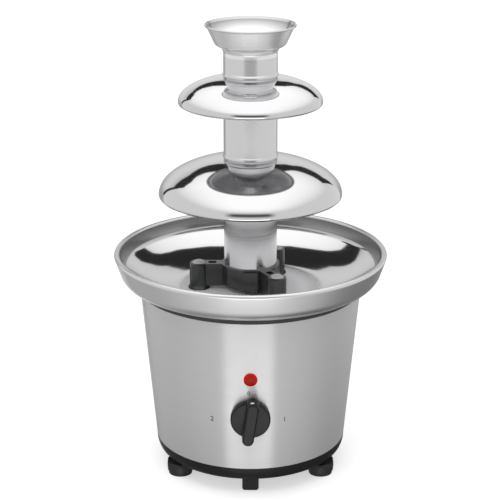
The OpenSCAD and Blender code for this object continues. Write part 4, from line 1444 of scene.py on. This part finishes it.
@dataclass
class Studio:
    """White light tent: camera, floor, a soft lamp overhead and the sheets that the steel reflects."""

    # The camera: picture size and focal length in pixels, its aim, and its distance and pitch from there
    image_px: int = 500
    focal_px: float = 1560.6
    sensor: float = 36.0
    pitch: float = 18.436
    aim: tuple[float, float, float] = (-0.4, 0.0, 191.4)
    distance: float = 1329.8
    sight: float = 50000.0
    # The floor, and what it gains so that the camera sees it white
    floor_half: float = 6000.0
    floor_colour: str = "#e8e8e8"
    floor_lift: float = 0.55
    ambient: float = 0.85
    lamp_size: float = 1100.0
    lamp_watts: float = 5.0
    lamp_place: tuple[float, float, float] = (-150.0, -500.0, 1500.0)
    # The tent's walls and roof; the left wall and the roof stop short of the back wall
    left: float = -600.0
    right: float = 480.0
    front: float = -600.0
    back: float = 624.0
    wall_top: float = 700.0
    left_end: float = 517.0
    roof: float = 531.0
    # Back edge of the roof from right to left, as places across and back
    roof_edge: tuple[tuple[float, float], ...] = (
        (480.0, 400.0),
        (263.0, 425.0),
        (165.0, 430.0),
        (134.0, 405.0),
        (111.0, 358.0),
        (95.0, 314.0),
        (48.0, 262.0),
        (-44.0, 258.0),
        (-69.0, 292.0),
        (-104.0, 340.0),
        (-147.0, 362.0),
        (-190.0, 335.0),
        (-225.0, 265.0),
        (-310.0, 235.0),
        (-400.0, 320.0),
        (-600.0, 320.0),
    )
    # Top edge of the back wall from right to left, as places across and up
    back_edge: tuple[tuple[float, float], ...] = (
        (480.0, 430.0),
        (344.0, 522.0),
        (225.0, 508.0),
        (178.0, 505.0),
        (150.0, 545.0),
        (125.0, 548.0),
        (95.0, 582.0),
        (38.0, 548.0),
        (0.0, 505.0),
        (-40.0, 548.0),
        (-81.0, 580.0),
        (-115.0, 548.0),
        (-150.0, 540.0),
        (-192.0, 550.0),
        (-315.0, 630.0),
        (-600.0, 640.0),
    )
    # The loft over the roof lights pieces that are lifted out of the tent. Its back wall stands in front of
    # the roof's back edge, so that no piece at rest sees it.
    loft_back: float = 225.0
    loft_top: float = 1400.0
    loft_level: float = 0.5
    loft_glow: Patch = Patch((0.0, loft_back, 560.0), (900.0, 100.0, 330.0), 250.0, 1.0)
    # Light of the walls and of the back wall, with the glow on that wall, the lamp's light on the roof and
    # the dark opening for the camera
    wall_level: float = 1.0
    back_level: float = 0.47
    back_glow: Patch = Patch((0.0, back, 460.0), (900.0, 200.0, 170.0), 150.0, 0.95)
    lamp_sheet: Patch = Patch((0.0, -60.0, roof), (300.0, 420.0, 300.0), 240.0, 1.7)
    opening: Patch = Patch((0.0, front, 342.0), (290.0, 100.0, 105.0), 90.0, 0.1)
    # The fountain's own shade on the table, as a share of the light there
    shade: Patch = Patch((0.0, 0.0, 0.0), (135.0, 135.0, 200.0), 70.0, 0.5)
    # The table round the fountain, with its brighter and darker stretches, then the dark room above
    table: float = 0.74
    cards: tuple[Card, ...] = (
        Card((-75, 65), (-90, -6), 1.15, (30, 30, 10, 5)),
        Card((90, 165), (-90, 0), 0.32, (25, 20, 10, 10)),
        Card((-148, -143), (-90, 0), 0.1, (1, 1, 10, 10)),
        Card((-190, -148), (-90, 0), 1.1, (3, 1, 10, 10)),
        Card((-29, 26), (-48, -8), 3.3, (2, 1.5, 8, 4)),
        Card((-190, 190), (0, 100), 0.04, (1, 1, 1, 1)),
    )

    def camera(self) -> None:
        """Set up the camera at the photograph's viewing angle."""
        data = bpy.data.cameras.new("camera")
        data.sensor_width = self.sensor
        data.lens = self.focal_px / self.image_px * self.sensor
        data.clip_end = self.sight * MM
        view = bpy.data.objects.new("camera", data)
        pitch = math.radians(self.pitch)
        back = np.array([0, -math.cos(pitch), math.sin(pitch)]) * self.distance
        view.location = ((np.array(self.aim) + back) * MM).tolist()
        view.rotation_euler = (math.pi / 2 - pitch, 0, 0)
        bpy.context.collection.objects.link(view)
        bpy.context.scene.camera = view

    def floor(self) -> None:
        """Lay a pale floor that shows white to the camera and keeps the shadow."""
        paper = bpy.data.materials.new("white_paper_floor")
        tree = fresh_tree(paper)
        seen = add_node(tree, "ShaderNodeLightPath").outputs["Is Camera Ray"]
        matt = add_node(tree, "ShaderNodeBsdfDiffuse", {"Color": linear(self.floor_colour)})
        gain = add_node(tree, "ShaderNodeMath", {"operation": "MULTIPLY", 1: self.floor_lift}, {0: seen})
        lift = add_node(tree, "ShaderNodeEmission", links={"Strength": gain.outputs[0]})
        both = add_node(tree, "ShaderNodeAddShader", links={0: matt.outputs[0], 1: lift.outputs[0]})
        add_node(tree, "ShaderNodeOutputMaterial", links={"Surface": both.outputs[0]})
        half = self.floor_half
        corners = ((-half, -half, 0), (half, -half, 0), (half, half, 0), (-half, half, 0))
        stage_sheet("floor", corners, paper).visible_glossy = False

    def lamp(self) -> None:
        """Hang the soft lamp, which lights and shades but stays out of the reflections."""
        data = bpy.data.lights.new("softbox", "AREA")
        data.shape, data.size, data.energy = "DISK", self.lamp_size * MM, self.lamp_watts
        lamp = bpy.data.objects.new("softbox", data)
        lamp.location = [value * MM for value in self.lamp_place]
        towards = Vector(self.aim) - Vector(self.lamp_place)
        lamp.rotation_euler = towards.to_track_quat("-Z", "Y").to_euler()
        lamp.visible_glossy = False
        bpy.context.collection.objects.link(lamp)

    @staticmethod
    def wall(start: tuple[float, float], end: tuple[float, float], low: float, high: float) -> Corners:
        """Corners of an upright sheet between two places on the table and two heights."""
        return ((*start, low), (*end, low), (*end, high), (*start, high))

    def level_sheet(self, back: float, height: float) -> Corners:
        """Corners of a level sheet as wide as the tent, from its front to a line further back."""
        places = ((self.left, self.front), (self.right, self.front), (self.right, back), (self.left, back))
        return tuple((*place, height) for place in places)

    def tent(self) -> None:
        """Hang the tent's walls and roof, the loft over them and the shade on the table."""
        left, right, back, loft = self.left, self.right, self.back, self.loft_back
        roof, top, high, lit = self.roof, self.wall_top, self.loft_top, self.wall_level
        near_left, near_right = (left, self.front), (right, self.front)
        roof_sheet = tuple((*place, roof) for place in (near_left, near_right, *self.roof_edge))
        back_sheet = ((left, back, 0), (right, back, 0), *((x, back, z) for x, z in self.back_edge))
        loft_sheet = self.wall((left, loft), (right, loft), roof, high)
        for panel in (
            Panel("tent_roof", roof_sheet, lit, self.lamp_sheet),
            Panel("tent_back", back_sheet, self.back_level, self.back_glow),
            Panel("tent_left", self.wall(near_left, (left, self.left_end), 0, top), lit),
            Panel("tent_right", self.wall(near_right, (right, back), 0, top), lit),
            Panel("tent_front", self.wall(near_left, near_right, 0, top), lit, self.opening),
            Panel("loft_back", loft_sheet, self.loft_level, self.loft_glow),
            Panel("loft_left", self.wall(near_left, (left, loft), top, high), lit),
            Panel("loft_right", self.wall(near_right, (right, loft), top, high), lit),
            Panel("loft_front", self.wall(near_left, near_right, top, high), lit),
            Panel("loft_roof", self.level_sheet(loft, high), lit),
            Panel("table_shade", self.level_sheet(back, 0), 0.0, self.shade, clear=True),
        ):
            panel.build()

    def world(self) -> None:
        """Show white to the camera, the cards to reflections and a plain level to all other light."""
        world = bpy.data.worlds.new("white_studio")
        bpy.context.scene.world = world
        tree = fresh_tree(world)
        path = add_node(tree, "ShaderNodeLightPath").outputs
        place = add_node(tree, "ShaderNodeTexCoord")
        x, y, z = add_node(tree, "ShaderNodeSeparateXYZ", links={0: place.outputs["Generated"]}).outputs
        ahead = add_node(tree, "ShaderNodeMath", {"operation": "MULTIPLY", 1: -1.0}, {0: y}).outputs[0]
        azimuth = add_node(tree, "ShaderNodeMath", {"operation": "ARCTAN2"}, {0: x, 1: ahead}).outputs[0]
        elevation = add_node(tree, "ShaderNodeMath", {"operation": "ARCSINE"}, {0: z}).outputs[0]
        level = None
        for card in self.cards:
            ends = {"A": self.table, "B": card.level}
            fed = {"Factor": card.mask(tree, azimuth, elevation)}
            if level is not None:
                fed["A"] = level
            level = add_node(tree, "ShaderNodeMix", ends, fed).outputs[0]
        rays = {0: path["Is Glossy Ray"], 1: path["Is Transmission Ray"]}
        mirrored = add_node(tree, "ShaderNodeMath", {"operation": "MAXIMUM"}, rays).outputs[0]
        other = add_node(tree, "ShaderNodeMix", {"A": self.ambient}, {"Factor": mirrored, "B": level})
        seen = {"Factor": path["Is Camera Ray"], "A": other.outputs[0]}
        strength = add_node(tree, "ShaderNodeMix", {"B": 1.0}, seen)
        light = add_node(tree, "ShaderNodeBackground", links={"Strength": strength.outputs[0]})
        add_node(tree, "ShaderNodeOutputWorld", links={"Surface": light.outputs[0]})

    def build(self) -> None:
        """Set up camera, floor, lamp, tent and world."""
        bpy.context.scene.view_settings.view_transform = "Standard"
        self.camera()
        self.floor()
        self.lamp()
        self.tent()
        self.world()


def main() -> None:
    """Build the fountain's sub-assemblies in order, then the studio."""
    logging.basicConfig(level=logging.INFO, format="%(name)s: %(message)s")
    bpy.ops.wm.read_factory_settings(use_empty=True)
    frame = Frame.load()
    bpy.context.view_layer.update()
    housing, controls = Housing(), Controls()
    housing.build(frame, controls.knob_z)
    Bowl().build(frame)
    Tower().build(frame)
    controls.build(frame, housing)
    Feet().build(frame)
    Drive().build(frame)
    Studio().build()


if __name__ == "__main__":
    main()
